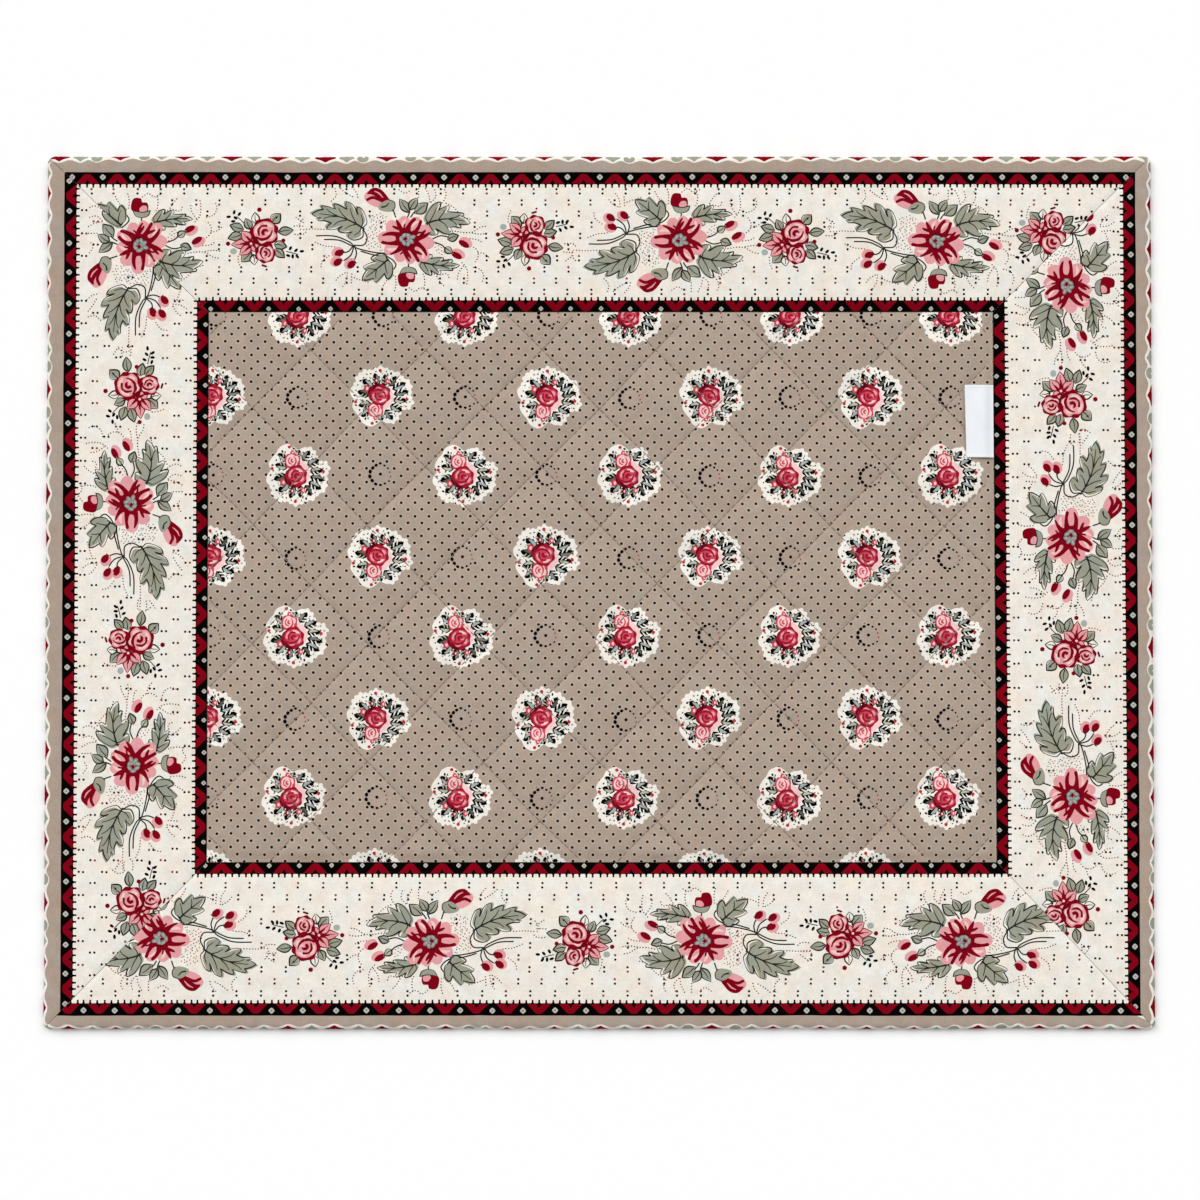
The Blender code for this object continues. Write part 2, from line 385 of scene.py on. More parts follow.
        def spread(t: float) -> float:
            """Half the leaf's breadth at a share of its length."""
            return width / 2 * sin(pi * min(max(t, 0.0), 1.0) ** 0.68) ** 0.75

        def at(t: float, w: float) -> Points:
            """The place at a share of the length, and a distance to the left of the rib."""
            return start + run * t + across * (w + bend * length * 4 * t * (1 - t))

        shares = [(k + 1.0) / (lobes + 0.75) for k in range(lobes)]
        sides, tips = [], []
        for way in (1.0, -1.0):
            side, last = [at(-0.02, way * spread(0.12) * 0.62)], 0.0
            for k, share in enumerate(shares):
                t = share + 0.035 * way * cos(3.1 * k + length)
                reach = way * spread(t) * (1.02 + 0.14 * sin(2.3 * k + width + way))
                side += [at(last + (t - last) * 0.5, reach * 0.94)]
                side += [at(t + 0.01, reach), at(t + 0.02, reach * 0.8)]
                side += [at(t - 0.03, reach * 0.55)] * 2
                tips.append((share, t, reach))
                last = t
            side.append(at(0.91, way * width * 0.1))
            sides.append(side)
        outline = [at(0.02, 0.0), *sides[0], at(1.0, 0.0), at(1.0, 0.0), *sides[1][::-1]]
        loop = curve(outline, True)
        self.patches.append(Patch((loop + np.asarray(slip),), ink))
        self.contour(loop, 0.47, Ink.LEAF_LINE)
        self.stroke([at(0.0, 0.0), at(0.2, 0.0), at(0.5, 0.0), at(0.86, 0.0)],
                    (0.85, 0.7, 0.45, 0.3), Ink.LEAF_LINE)
        for k, (share, t, reach) in enumerate(tips):
            root = max(0.05, share - 0.24 - 0.03 * (k % len(shares)))
            self.stroke([at(root, 0.0), at(t - 0.15, reach * 0.34), at(t - 0.08, reach * 0.68)],
                        (0.55, 0.42, 0.3), Ink.LEAF_LINE)

    def dark_leaf(self, base: tuple, tip: tuple, width: float, ink: Ink, light: Ink) -> None:
        """Prints a shaded leaf: a black notched shape, colour on one half and pale strokes on the other.

        Args:
            base: Its base.
            tip: Its tip.
            width: Its widest place.
            ink: The colour of its lit half.
            light: The colour of its strokes.
        """
        start, end = np.asarray(base, float), np.asarray(tip, float)
        run = end - start
        side = np.array((-run[1], run[0])) / hypot(*run) * width / 2
        notched = ((0.12, 0.55), (0.3, 1.0), (0.38, 0.72), (0.58, 0.98), (0.66, 0.66), (0.84, 0.5))
        left = [start + run * t + side * w for t, w in notched]
        right = [start + run * t - side * w for t, w in notched[::-1]]
        self.fill([start, *left, end, *right], Ink.BLACK, corners=True)
        self.fill([start + run * 0.14, start + run * 0.3 + side * 0.68, start + run * 0.56 + side * 0.66,
                   start + run * 0.8 + side * 0.24, start + run * 0.5 + side * 0.1], ink)
        for t in (0.26, 0.52):
            self.stroke([start + run * t - side * 0.2, start + run * (t + 0.14) - side * 0.9],
                        (0.36, 0.66), light)

    def place(self, other: "Drawing", at: tuple, mirrored: bool = False, turn: float = 0.0,
              scale: float = 1.0) -> None:
        """Prints another drawing at a place.

        Args:
            other: What to print.
            at: Where its origin goes.
            mirrored: Whether it is turned over.
            turn: Its turn in degrees.
            scale: Its size factor.
        """
        self.patches += [patch.placed(at, turn, mirrored, scale) for patch in other.patches]


@dataclass(frozen=True)
class OpenFlower:
    """A wide open flower: pink petals, crimson brush strokes between them and a grey heart."""

    petals: tuple = ((64, 10.9), (28, 11.2), (-8, 11.8), (-44, 12.4), (-80, 10.6), (-112, 10.2), (-150, 11.0),
                     (176, 12.6), (138, 11.4), (100, 10.4))
    spurs: tuple = (1, 3, 4, 8)
    heart: tuple = ((-2.5, 0.3, 100), (-1.3, 1.9, 40), (0.6, 1.9, -30), (2.4, 1.2, 20), (1.8, -0.6, -40),
                    (0.6, -1.6, 70), (-1.3, -1.3, 120), (0.4, 0.5, 60))

    def draw(self) -> Drawing:
        """The flower round its centre."""
        sheet = Drawing()

        def polar(angle: float, reach: float) -> tuple:
            """The place at an angle in degrees and a distance from the centre."""
            return reach * cos(radians(angle)), reach * sin(radians(angle))

        outline, notches = [], []
        for k, (angle, reach) in enumerate(self.petals):
            after, after_reach = self.petals[(k + 1) % len(self.petals)]
            gap = (angle - after) % 360
            notch = (angle - gap / 2, (reach + after_reach) / 2 * 0.82)
            notches.append(notch)
            outline += [polar(angle + gap * 0.27, reach * 0.96), polar(angle - gap * 0.05, reach * 1.02),
                        polar(angle - gap * 0.3, reach * 0.95)]
            outline += [polar(*notch)] * 2
        sheet.fill(outline, Ink.PINK)
        for k, (angle, reach) in enumerate(self.petals):
            sheet.stroke([polar(angle + 8, reach * 0.56), polar(angle + 2, reach * 0.74),
                          polar(angle - 6, reach * 0.86)],
                         (0.5, 1.5, 0.6), Ink.BLUSH if k % 3 == 0 else Ink.PINK)
        core = [polar(k * 36 + 12, 4.7 + 0.7 * unevenness(k, 2)) for k in range(10)]
        sheet.fill(core, Ink.CRIMSON)
        for k, (angle, reach) in enumerate(notches):
            sway = 13 * sin(1.9 * k + 0.6)
            line = [polar(angle - sway * 0.5, 3.6), polar(angle - sway * 0.2, reach * 0.62),
                    polar(angle + sway * 0.4, reach * 0.88), polar(angle + sway, reach * 1.1)]
            end = 0.7 if k % 3 else 1.5
            sheet.stroke(line, (3.3, 1.9, 1.4 + 0.3 * sin(k), end), Ink.CRIMSON)
            if k in self.spurs:
                sheet.stroke([polar(angle, reach * 0.6), polar(angle + 14, reach * 0.82),
                              polar(angle + 17, reach * 0.95)], (1.8, 1.4, 0.8), Ink.CRIMSON)
        for k, (angle, reach) in enumerate(self.petals):
            if k % 4 == 1:
                sheet.stroke([polar(angle, 3.4), polar(angle + 5, reach * 0.5), polar(angle - 2, reach * 0.66)],
                             (1.7, 0.9, 0.7), Ink.CRIMSON)
        sheet.stroke([polar(150, 2.2), polar(110, 3.6), polar(60, 3.7)], (0.6, 1.0, 0.6), Ink.DEEP_RED)
        sheet.stroke([polar(-60, 3.0), polar(-100, 3.4), polar(-140, 3.6)], (0.6, 1.0, 0.6), Ink.DEEP_RED)
        for x, y, turn in self.heart:
            sheet.dot(x, y, 0.86, Ink.GREY, sides=10, stretch=1.6, turn=turn)
            sheet.dot(x - 0.1, y + 0.1, 0.5, Ink.SILVER, sides=8, stretch=1.8, turn=turn)
        sheet.dot(-0.2, 0.4, 0.42, Ink.DEEP_RED, sides=6, stretch=1.5, turn=30)
        return sheet


@dataclass(frozen=True)
class Rose:
    """A full rose, drawn with a radius of about 5 mm: a dark rim, cupped pink petals and a curled heart."""

    rim: Ink = Ink.CRIMSON
    petal: Ink = Ink.PINK
    light: Ink = Ink.BLUSH
    gleam: Ink = Ink.BLUSH
    reach: tuple = (5.3, 4.7, 5.4, 4.9, 5.2, 4.5, 5.4, 4.8, 5.1, 4.5, 5.4, 4.8, 5.5, 4.7)

    def draw(self) -> Drawing:
        """The rose round its centre."""
        sheet = Drawing()
        sheet.fill([(r * cos(k * pi / 7), r * sin(k * pi / 7)) for k, r in enumerate(self.reach)], self.rim)
        sheet.fill([(-3.7, 0.8), (-2.6, 3.1), (0.2, 3.9), (2.5, 3.3), (4.1, 1.4), (3.4, -0.9), (3.8, -2.5),
                    (1.7, -3.8), (-0.2, -3.3), (-2.5, -3.4), (-3.1, -1.3)], self.petal)
        sheet.fill([(-3.3, 1.0), (-2.1, 2.9), (-0.5, 3.4), (-1.5, 1.9), (-2.1, 0.5)], self.light)
        sheet.fill([(0.9, 3.4), (2.6, 2.6), (3.6, 0.9), (2.3, 1.3), (1.2, 2.2)], self.gleam)
        sheet.fill([(2.7, -1.0), (3.0, -2.4), (1.6, -3.2), (0.9, -2.7), (2.0, -1.9)], self.light)
        sheet.stroke([(-3.3, -0.4), (-2.0, -1.9), (0.0, -2.3), (1.9, -1.5), (2.9, -0.2)],
                     (0.4, 1.2, 0.9, 0.4), self.rim)
        sheet.stroke([(-2.1, -0.4), (-1.7, 1.5), (-0.1, 2.5), (1.5, 2.0)], (0.5, 1.0, 0.6, 0.9), self.rim)
        sheet.fill([(-0.9, -0.9), (-1.1, 0.5), (0.0, 1.3), (1.3, 0.9), (1.5, -0.3), (0.8, 0.1), (0.1, 0.2),
                    (0.0, -0.8)], self.rim)
        sheet.stroke([(0.5, -0.6), (1.3, -0.9), (2.0, -0.4)], (0.3, 0.6, 0.3), self.light)
        sheet.stroke([(-2.7, -2.5), (-1.5, -3.0), (-0.4, -2.9)], (0.3, 0.6, 0.3), self.light)
        sheet.stroke([(-4.3, -0.8), (-3.5, -2.8), (-1.7, -4.2)], (0.4, 0.9, 0.4), Ink.DEEP_RED)
        return sheet


@dataclass(frozen=True)
class Spray:
    """A flowering spray that runs along the border, drawn round its flower's centre."""

    flower: OpenFlower = field(default_factory=OpenFlower)

    def tendrils(self, sheet: Drawing) -> None:
        """The dotted tendrils and the stippled ground that surround the spray.

        Args:
            sheet: The drawing to add to.
        """
        sheet.stipple([(-16, 11), (-10, 12.5), (-8.5, 8), (-11.5, 0), (-10, -5), (-19, -3.5), (-17.5, 3)],
                      1.5, Ink.RUST, 60)
        sheet.stipple([(11.5, -0.8), (15, -1.6), (16.5, -4.2), (15.5, -7), (11.5, -6)], 1.5, Ink.RUST, 20)
        for line in (
            [(-29, 22.5), (-26.5, 20.5), (-23, 18.5)],
            [(-24, 23), (-22, 20.5), (-21.5, 18)],
            [(-3.5, 22), (-1, 20.5), (1, 21.5)],
            [(5, 22.5), (5, 18.5)],
            [(8, 22.5), (9.5, 19.5), (10, 16.5)],
            [(12, 22), (12.5, 19), (10.5, 16.5)],
            [(17, 16), (20, 14.5), (22.5, 12)],
            [(22, 12), (24.5, 10), (28, 9)],
            [(21, 3.8), (25, 3.2), (28.5, 3.5), (32, 5.5), (35, 6)],
            [(28.5, 3), (32, 2.5), (35.5, 3)],
            [(27.5, 0.5), (31, 0), (33, -1.5)],
            [(28, -2.5), (30.5, -4.5), (31, -7.5), (29.5, -10)],
            [(31, -5.5), (33.5, -6), (35.5, -7.5)],
            [(24, -10), (26, -12.5), (26.5, -16), (26, -19.5)],
            [(24.5, -11.5), (22.5, -14.5), (22, -17.5)],
            [(7, -15), (10.5, -14.7), (14, -15.3), (17.5, -14.8), (18.5, -17.5)],
            [(7.5, -16), (7.8, -19), (7.2, -21.5)],
            [(13, -16), (14.5, -18.5), (16.5, -20.5)],
            [(-5, -16), (-4.8, -19.5), (-5.5, -22.5)],
            [(-6, -15.5), (-9, -18), (-11, -21.5)],
            [(-17, -18.5), (-20.5, -17.5), (-24.5, -16)],
            [(-27, -14.5), (-29.5, -16), (-31.5, -18.5)],
            [(-26, -14.5), (-26.5, -18), (-28.5, -21)],
            [(-24, -15), (-24.3, -19)],
            [(-45, 4.5), (-41, 4.8), (-37, 4.6), (-34, 4.8)],
            [(-45.5, 9), (-47, 6.5), (-46, 3.5)],
            [(-40, -1), (-36, -2.6), (-32, -3), (-28.5, -4.3)],
            [(-33, 17), (-31, 19.5), (-31.5, 22.5)],
            [(12, 14.5), (15.5, 16.5), (17, 20), (16, 22.5)],
            [(29, -12), (32, -13), (33.5, -16), (32.5, -19)],
            [(1, -21), (3.5, -22.5), (6, -21), (9.5, -22.5)],
            [(-34, -7), (-37, -9.5), (-37.5, -13)],
        ):
            sheet.trail(line)

    def leaves(self, sheet: Drawing) -> None:
        """The spray's leaves and its stems.

        Args:
            sheet: The drawing to add to.
        """
        pen = (0.6, 0.6)
        for line in (
            [(-39.5, 1.8), (-31.5, 1.6), (-25, -1), (-22, -3.6), (-13.5, -5.6), (-6.5, -5.8)],
            [(-36, 0.2), (-29.5, -0.2), (-24.2, -2.6)],
            [(-20, -5), (-13, -6.9), (-8.5, -6.4)],
            [(-19.0, 4.4), (-17.4, 1.0), (-18.8, -2.2), (-23.2, -2.4)],
            [(-10, -6.6), (-6.5, -8.6), (-4.8, -11), (-6.2, -13.2), (-7.6, -14)],
            [(-9.2, -7.4), (-7.6, -9.6), (-7.8, -12)],
            [(-23.5, -2.6), (-25.4, -5), (-27.6, -5.6)],
            [(-23.2, -2.8), (-24.4, -6.6), (-27.4, -9)],
            [(-22.8, -2.8), (-22, -6), (-23, -9)],
            [(-6, 13), (-5, 10)],
            [(0.2, 10), (1, 12.6), (-0.6, 15.6)],
            [(1.6, 10), (3.4, 12.4), (6.4, 13.6)],
            [(10.8, 0.2), (14.6, 1.8), (18.6, 1)],
            [(11, -0.8), (15, -2.2), (17.2, -4.4)],
            [(0.6, -10.2), (0.7, -11.8)],
            [(11, 6.6), (15.5, 4.6), (19, 3.6)],
        ):
            sheet.stroke(line, pen, Ink.LEAF_LINE)
        sheet.lobed_leaf((-18.8, 4.8), (-41.6, 11.4), 14.2, lobes=4, bend=-0.09, slip=(-0.9, 0.5))
        sheet.lobed_leaf((8.6, 7.2), (27.6, 7.4), 13.4, lobes=3, bend=0.10, slip=(-1.0, -0.3))
        sheet.lobed_leaf((6.2, -9.6), (23.0, -11.2), 8.4, lobes=3, bend=-0.05, slip=(-0.8, 0.4))
        sheet.lobed_leaf((-8.4, -8.6), (-19.4, -17.4), 12.0, lobes=2, bend=0.02, slip=(0.4, -0.6))
        sheet.almond((1.0, 12.0), (-3.4, 18.0), 3.8, Ink.SAGE)
        sheet.almond((1.0, 13.2), (4.4, 18.4), 3.6, Ink.SAGE)
        sheet.almond((3.4, 11.6), (9.0, 16.2), 4.6, Ink.SAGE)

    def buds(self, sheet: Drawing) -> None:
        """The rosebud, the small bud under the flower, the twin buds and the three berries.

        Args:
            sheet: The drawing to add to.
        """
        sheet.fill([(-9.4, 14.6), (-13.5, 14.4), (-17.4, 16.4), (-18.8, 19.4), (-16.4, 21.8), (-12.4, 21.0),
                    (-9.2, 18.0)], Ink.PINK)
        sheet.fill([(-17.6, 20.2), (-15.2, 22.8), (-11.8, 22.4), (-9.0, 19.6), (-7.4, 16.6), (-10.4, 16.0),
                    (-13.4, 18.6), (-15.6, 20.0)], Ink.CRIMSON)
        sheet.stroke([(-17.4, 17.6), (-14.8, 18.6), (-11.6, 17.0)], (1.2, 1.4, 0.6), Ink.CRIMSON)
        sheet.stroke([(-14.2, 21.4), (-12.2, 20.4), (-10.6, 18.6)], (0.3, 0.7, 0.3), Ink.PINK)
        calyx = curve([(-11.8, 15.6), (-9.0, 17.4), (-6.2, 17.0), (-5.4, 14.6), (-7.0, 12.4), (-10.6, 12.6),
                       (-12.6, 13.8)], True)
        sheet.patches.append(Patch((calyx,), Ink.SAGE))
        sheet.stroke([(-8.0, 17.6), (-5.6, 16.6), (-5.3, 14.2), (-6.6, 12.6)], (0.42, 0.42), Ink.LEAF_LINE)
        sheet.stroke([(-11.0, 14.4), (-9.2, 14.8), (-8.0, 16.2)], (0.8, 0.4), Ink.LEAF_LINE)

        sheet.fill([(-3.4, -14.8), (-3.9, -18.0), (-2.6, -20.4), (0.4, -20.2), (0.8, -18.6), (3.0, -18.4),
                    (3.6, -16.0), (2.4, -14.2)], Ink.CRIMSON)
        sheet.fill([(0.6, -14.0), (2.8, -14.6), (2.8, -16.8), (0.9, -17.0), (-0.4, -15.4)], Ink.PINK)
        moon = curve([(-3.2, -14.8), (-1.8, -12.4), (1.0, -11.8), (3.6, -12.8), (4.4, -15.0), (4.4, -15.0),
                      (1.0, -14.2), (-3.2, -14.8)], True)
        sheet.patches.append(Patch((moon,), Ink.SAGE))
        sheet.contour(moon, 0.36, Ink.LEAF_LINE)

        for x, y, turn in ((24.8, -1.8, -32.0), (21.6, -6.8, -28.0)):
            sheet.dot(x + 0.9, y + 0.7, 2.1, Ink.PINK, sides=12, stretch=1.5, turn=turn)
            sheet.dot(x, y, 1.35, Ink.CRIMSON, sides=12, stretch=1.95, turn=turn)
        sheet.almond((17.6, 0.2), (22.4, 2.0), 3.4, Ink.SAGE)
        sheet.almond((16.4, -3.4), (19.8, -5.8), 3.0, Ink.PALE_SAGE)
        for x, y, turn in ((-29.6, -5.6, 20.0), (-30.2, -9.6, 35.0), (-24.2, -10.6, 40.0)):
            sheet.dot(x - 0.7, y + 0.2, 2.3, Ink.PINK, sides=11, stretch=1.2, turn=turn)
            sheet.dot(x, y - 0.2, 1.55, Ink.CRIMSON, sides=11, stretch=1.35, turn=turn)
            sheet.stroke([(x + 1.4, y + 1.2), (x + 2.2, y + 0.4)], (0.6, 0.4), Ink.LEAF_LINE)

    def draw(self) -> Drawing:
        """The whole spray."""
        sheet = Drawing()
        self.tendrils(sheet)
        self.leaves(sheet)
        sheet.place(self.flower.draw(), (0.0, 0.0))
        self.buds(sheet)
        return sheet


@dataclass(frozen=True)
class Posy:
    """A small posy of two roses and a star flower, drawn round its middle."""

    leaves: tuple = (
        ((-2.6, 5.8), (-3.2, 10.8), 3.4), ((4.0, 6.2), (8.0, 10.2), 4.6), ((7.0, 2.2), (13.6, 3.2), 3.6),
        ((5.2, -3.0), (10.8, -4.2), 3.8), ((5.6, -5.2), (9.8, -9.0), 3.6), ((-4.6, -6.4), (-9.0, -10.8), 4.4),
        ((-3.8, -7.6), (-3.2, -12.2), 3.4), ((-8.0, 3.4), (-14.0, 5.2), 3.8), ((-8.6, 1.2), (-14.8, -0.6), 3.8),
        ((-5.0, 3.4), (-7.2, 8.2), 3.6),
    )
    red_dots: tuple = ((-1.2, 12.0, 1.05), (-14.8, -2.9, 1.0), (9.3, -1.5, 0.95), (2.0, -14.2, 0.5))
    seeds: tuple = ((-12.2, 10.9, 75.0), (-14.6, 8.9, 5.0), (-9.9, 10.1, 55.0), (-11.6, 8.4, -35.0),
                    (-12.6, 6.9, 5.0), (12.4, -4.9, 60.0), (11.4, -8.1, -20.0), (14.8, -5.8, 45.0),
                    (15.4, -8.5, -50.0), (17.4, -6.2, 5.0), (13.4, -8.4, 90.0))
    star: tuple = (((-5.0, -2.6), (-13.4, -3.4), 4.2), ((-4.6, -2.0), (-9.0, 2.6), 4.4),
                   ((-4.6, -3.6), (-9.8, -7.8), 4.0), ((-4.0, -2.6), (-1.8, -6.8), 3.8))

    def draw(self) -> Drawing:
        """The whole posy."""
        sheet = Drawing()
        for line in ([(14.8, 8.6), (16.6, 7.4), (18.4, 6.0)], [(14.0, 4.8), (16.0, 5.0), (18.0, 4.8)],
                     [(14.4, 1.2), (16.4, 1.0), (18.6, 1.6), (19.4, 3.2)],
                     [(-10.4, -8.4), (-10.2, -10.8), (-9.2, -13.4)]):
            sheet.trail(line)
        sheet.stroke([(-6.4, 4.2), (-8.4, 6.6), (-11.0, 9.0)], (0.42, 0.42), Ink.LEAF_LINE)
        sheet.stroke([(10.6, -6.3), (13.2, -6.9), (15.6, -7.6)], (0.42, 0.42), Ink.LEAF_LINE)
        for k, (base, tip, width) in enumerate(self.leaves):
            sheet.almond(base, tip, width, Ink.IVORY if k in (0, 6) else Ink.SAGE, slip=0.3)
        sheet.dot(6.2, 8.6, 0.5, Ink.BLACK, sides=6)
        for x, y, turn in self.seeds:
            sheet.dot(x, y, 0.64, Ink.BLACK, sides=7, stretch=1.7, turn=turn)
        sheet.dot(-12.4, -6.2, 1.4, Ink.SLATE, sides=9, stretch=1.1)
        for x, y, radius in self.red_dots:
            sheet.dot(x, y, radius, Ink.CRIMSON, sides=9)
        for base, tip, width in self.star:
            sheet.almond(base, tip, width, Ink.PINK, line=Ink.CRIMSON, slip=0.2)
            sheet.stroke([base, tuple(np.add(base, tip) / 2)], (1.7, 0.6), Ink.CRIMSON)
        sheet.dot(-4.8, -2.9, 0.6, Ink.BLUSH, sides=7)
        sheet.place(Rose().draw(), (1.4, -6.9), turn=-100, scale=0.9)
        sheet.stroke([(0.2, -12.3), (1.8, -12.8)], (0.9, 0.9), Ink.DEEP_RED)
        sheet.place(Rose().draw(), (1.0, 2.0), turn=20, scale=1.22)
        return sheet


@dataclass(frozen=True)
class Medallion:
    """A white scalloped medallion of the centre panel: two roses among dark engraved leaves."""

    rim: tuple = ((-4.8, 13.4), (-2.2, 12.4), (-0.2, 10.8), (2.6, 11.8), (5.4, 11.5), (7.2, 9.8), (8.3, 7.4),
                  (10.4, 5.2), (12.4, 5.0), (13.9, 2.6), (13.0, 0.6), (12.8, -2.0), (12.9, -4.6), (11.6, -7.2),
                  (8.8, -8.8), (7.0, -10.8), (4.2, -11.3), (2.0, -12.4), (-0.8, -13.4), (-3.0, -12.3),
                  (-5.6, -11.5), (-7.8, -11.6), (-9.8, -10.2), (-11.2, -8.4), (-11.8, -5.8), (-13.8, -3.4),
                  (-13.5, -0.6), (-12.1, 1.6), (-12.8, 4.4), (-11.4, 7.2), (-9.6, 9.2), (-8.2, 11.8))
    leaves: tuple = (
        ((-3.8, -3.4), (-8.6, -7.8), 4.2, Ink.SLATE), ((-1.6, -5.0), (-3.4, -10.6), 3.6, Ink.GREY),
        ((1.4, -4.8), (1.2, -10.2), 3.4, Ink.PALE_SAGE), ((3.2, -4.6), (6.2, -9.4), 3.6, Ink.MOSS),
        ((4.6, -3.2), (10.6, -6.4), 3.9, Ink.SLATE), ((5.2, -1.0), (12.0, -2.6), 3.6, Ink.FERN),
        ((5.0, 1.4), (11.2, 1.8), 3.6, Ink.PALE_SAGE), ((3.8, 3.8), (9.4, 6.4), 4.0, Ink.SLATE),
        ((1.8, 5.8), (5.2, 10.4), 3.8, Ink.GREY), ((-0.6, 7.4), (0.6, 10.8), 3.0, Ink.PALE_SAGE),
        ((-5.0, -0.6), (-10.8, -2.4), 4.0, Ink.MOSS), ((-4.6, 2.8), (-10.2, 4.2), 3.8, Ink.PALE_SAGE),
        ((-4.6, 5.6), (-8.8, 9.2), 3.6, Ink.SLATE),
    )
    red_dots: tuple = ((-3.9, 12.0), (-11.4, 2.4), (11.2, 1.2), (-0.9, -11.7))
    buds: tuple = ((-6.6, -3.6, 1.3, Ink.ROSE), (-2.6, -7.2, 0.95, Ink.CRIMSON), (2.3, -6.9, 1.05, Ink.ROSE),
                   (-2.6, 9.4, 1.0, Ink.ROSE))

    def draw(self) -> Drawing:
        """The whole medallion round its middle."""
        sheet = Drawing()
        sheet.fill(list(self.rim), Ink.MEDALLION_WHITE)
        for k, (x, y) in enumerate(self.rim):
            if x > y - 9:
                sheet.dot(x * 0.98, y * 0.98, 0.95, Ink.MEDALLION_WHITE, sides=7)
            share = 0.87 + 0.07 * unevenness(k, 21)
            sheet.dot(x * share, y * share, 0.4 + 0.12 * unevenness(k, 22), Ink.DOT_BROWN if k % 3 else Ink.GREY,
                      sides=5, stretch=1.4, turn=90 * unevenness(k, 23))
            share = 0.78 + 0.06 * unevenness(k, 24)
            sheet.dot((x + 0.9) * share, (y + 0.6) * share, 0.34 + 0.1 * unevenness(k, 25),
                      Ink.MOSS if k % 2 else Ink.PALE_SAGE, sides=5, stretch=2.0, turn=90 * unevenness(k, 26))
        for base, tip, width, ink in self.leaves:
            sheet.dark_leaf(base, tip, width, ink, Ink.MEDALLION_WHITE if tip[0] > 4 else Ink.PALE_SAGE)
        for x, y in self.red_dots:
            sheet.dot(x, y, 0.78, Ink.DOT_RED, sides=7)
        for x, y, radius, ink in self.buds:
            sheet.dot(x, y, radius, ink, sides=9, stretch=1.25, turn=40 * x)
            sheet.dot(x + 0.2, y, radius * 0.45, Ink.BLUSH, sides=6, stretch=1.4, turn=40 * x)
        small_rose = Rose(rim=Ink.ROSE, petal=Ink.BLUSH, light=Ink.BLUSH)
        big_rose = Rose(rim=Ink.CHERRY, petal=Ink.ROSE, light=Ink.PINK, gleam=Ink.BLUSH)
        sheet.fill([(2.4, -3.4), (4.4, -2.6), (5.4, 0.6), (4.4, 3.6), (1.0, 5.8), (0.6, 1.0)], Ink.BLUSH)
        sheet.dot(-1.3, -1.3, 4.6, Ink.DEEP_RED, sides=14, stretch=1.05)
        sheet.place(small_rose.draw(), (-2.6, 5.8), turn=75, scale=0.7)
        sheet.place(big_rose.draw(), (-0.8, -0.8), turn=20, scale=0.95)
        return sheet


@dataclass(frozen=True)
class DotRing:
    """A ring of dots on bare ground, heavier on one side, between two medallions."""

    radius: float = 4.4
    count: int = 14
    clear_radius: float = 5.4

    def draw(self) -> Drawing:
        """The ring round its centre dot."""
        sheet = Drawing()
        sheet.dot(0.0, 0.0, self.clear_radius, Ink.PANEL_BARE, sides=16)
        sheet.dot(0.0, 0.0, 0.72, Ink.BLACK, sides=8)
        for k in range(self.count):
            angle = 2 * pi * (k + 0.5) / self.count
            weight = (1 - cos(angle)) / 2
            ink = Ink.BLACK if weight > 0.04 else Ink.RUST
            reach = self.radius + 0.35 * unevenness(k, 5)
            sheet.dot(reach * cos(angle), reach * sin(angle), 0.36 + 0.46 * weight, ink, sides=7,
                      stretch=1.2, turn=90 + angle * 180 / pi)
        return sheet


def triangulate(loops: list, loose: Points) -> tuple[Points, Points]:
    """Cuts the plane into triangles that keep every loop's edges.

    Args:
        loops: Closed loops, each an array of places in mm.
        loose: More places that become corners of triangles.

    Returns:
        The corners' places, and the triangles as triples of their numbers.
    """
    edges, first = [], 0
    for loop in loops:
        ring = np.arange(len(loop)) + first
        edges += list(zip(ring.tolist(), np.roll(ring, -1).tolist()))
        first += len(loop)
    places = np.vstack([*loops, loose])
    found = delaunay_2d_cdt([Vector(place) for place in places.tolist()], edges, [], 0, WELD, False)
    return np.array([tuple(corner) for corner in found[0]]), np.array(found[2])


def paint(centres: Points, patches: list, ground: Ink) -> list:
    """Gives each triangle the ink of the last printed shape that covers it.

    Args:
        centres: The triangles' middles.
        patches: The printed shapes in order.
        ground: The ink where nothing is printed.

    Returns:
        One ink for each triangle.
    """
    order = np.argsort(centres[:, 0])
    sorted_x = centres[order, 0]
    inks = [ground] * len(centres)
    for patch in patches:
        low = np.min([loop.min(axis=0) for loop in patch.loops], axis=0)
        high = np.max([loop.max(axis=0) for loop in patch.loops], axis=0)
        first, last = np.searchsorted(sorted_x, (low[0], high[0]))
        near = order[first:last]
        near = near[(centres[near, 1] >= low[1]) & (centres[near, 1] <= high[1])]
        if len(near):
            for k in near[covered(centres[near], patch.loops)]:
                inks[k] = patch.ink
    return inks


def add_object(name: str, mesh: bpy.types.Mesh) -> bpy.types.Object:
    """Links a mesh to the scene, at the origin.

    Args:
        name: The object's name.
        mesh: Its mesh.

    Returns:
        The new object.
    """
    item = bpy.data.objects.new(name, mesh)
    bpy.context.scene.collection.objects.link(item)
    return item


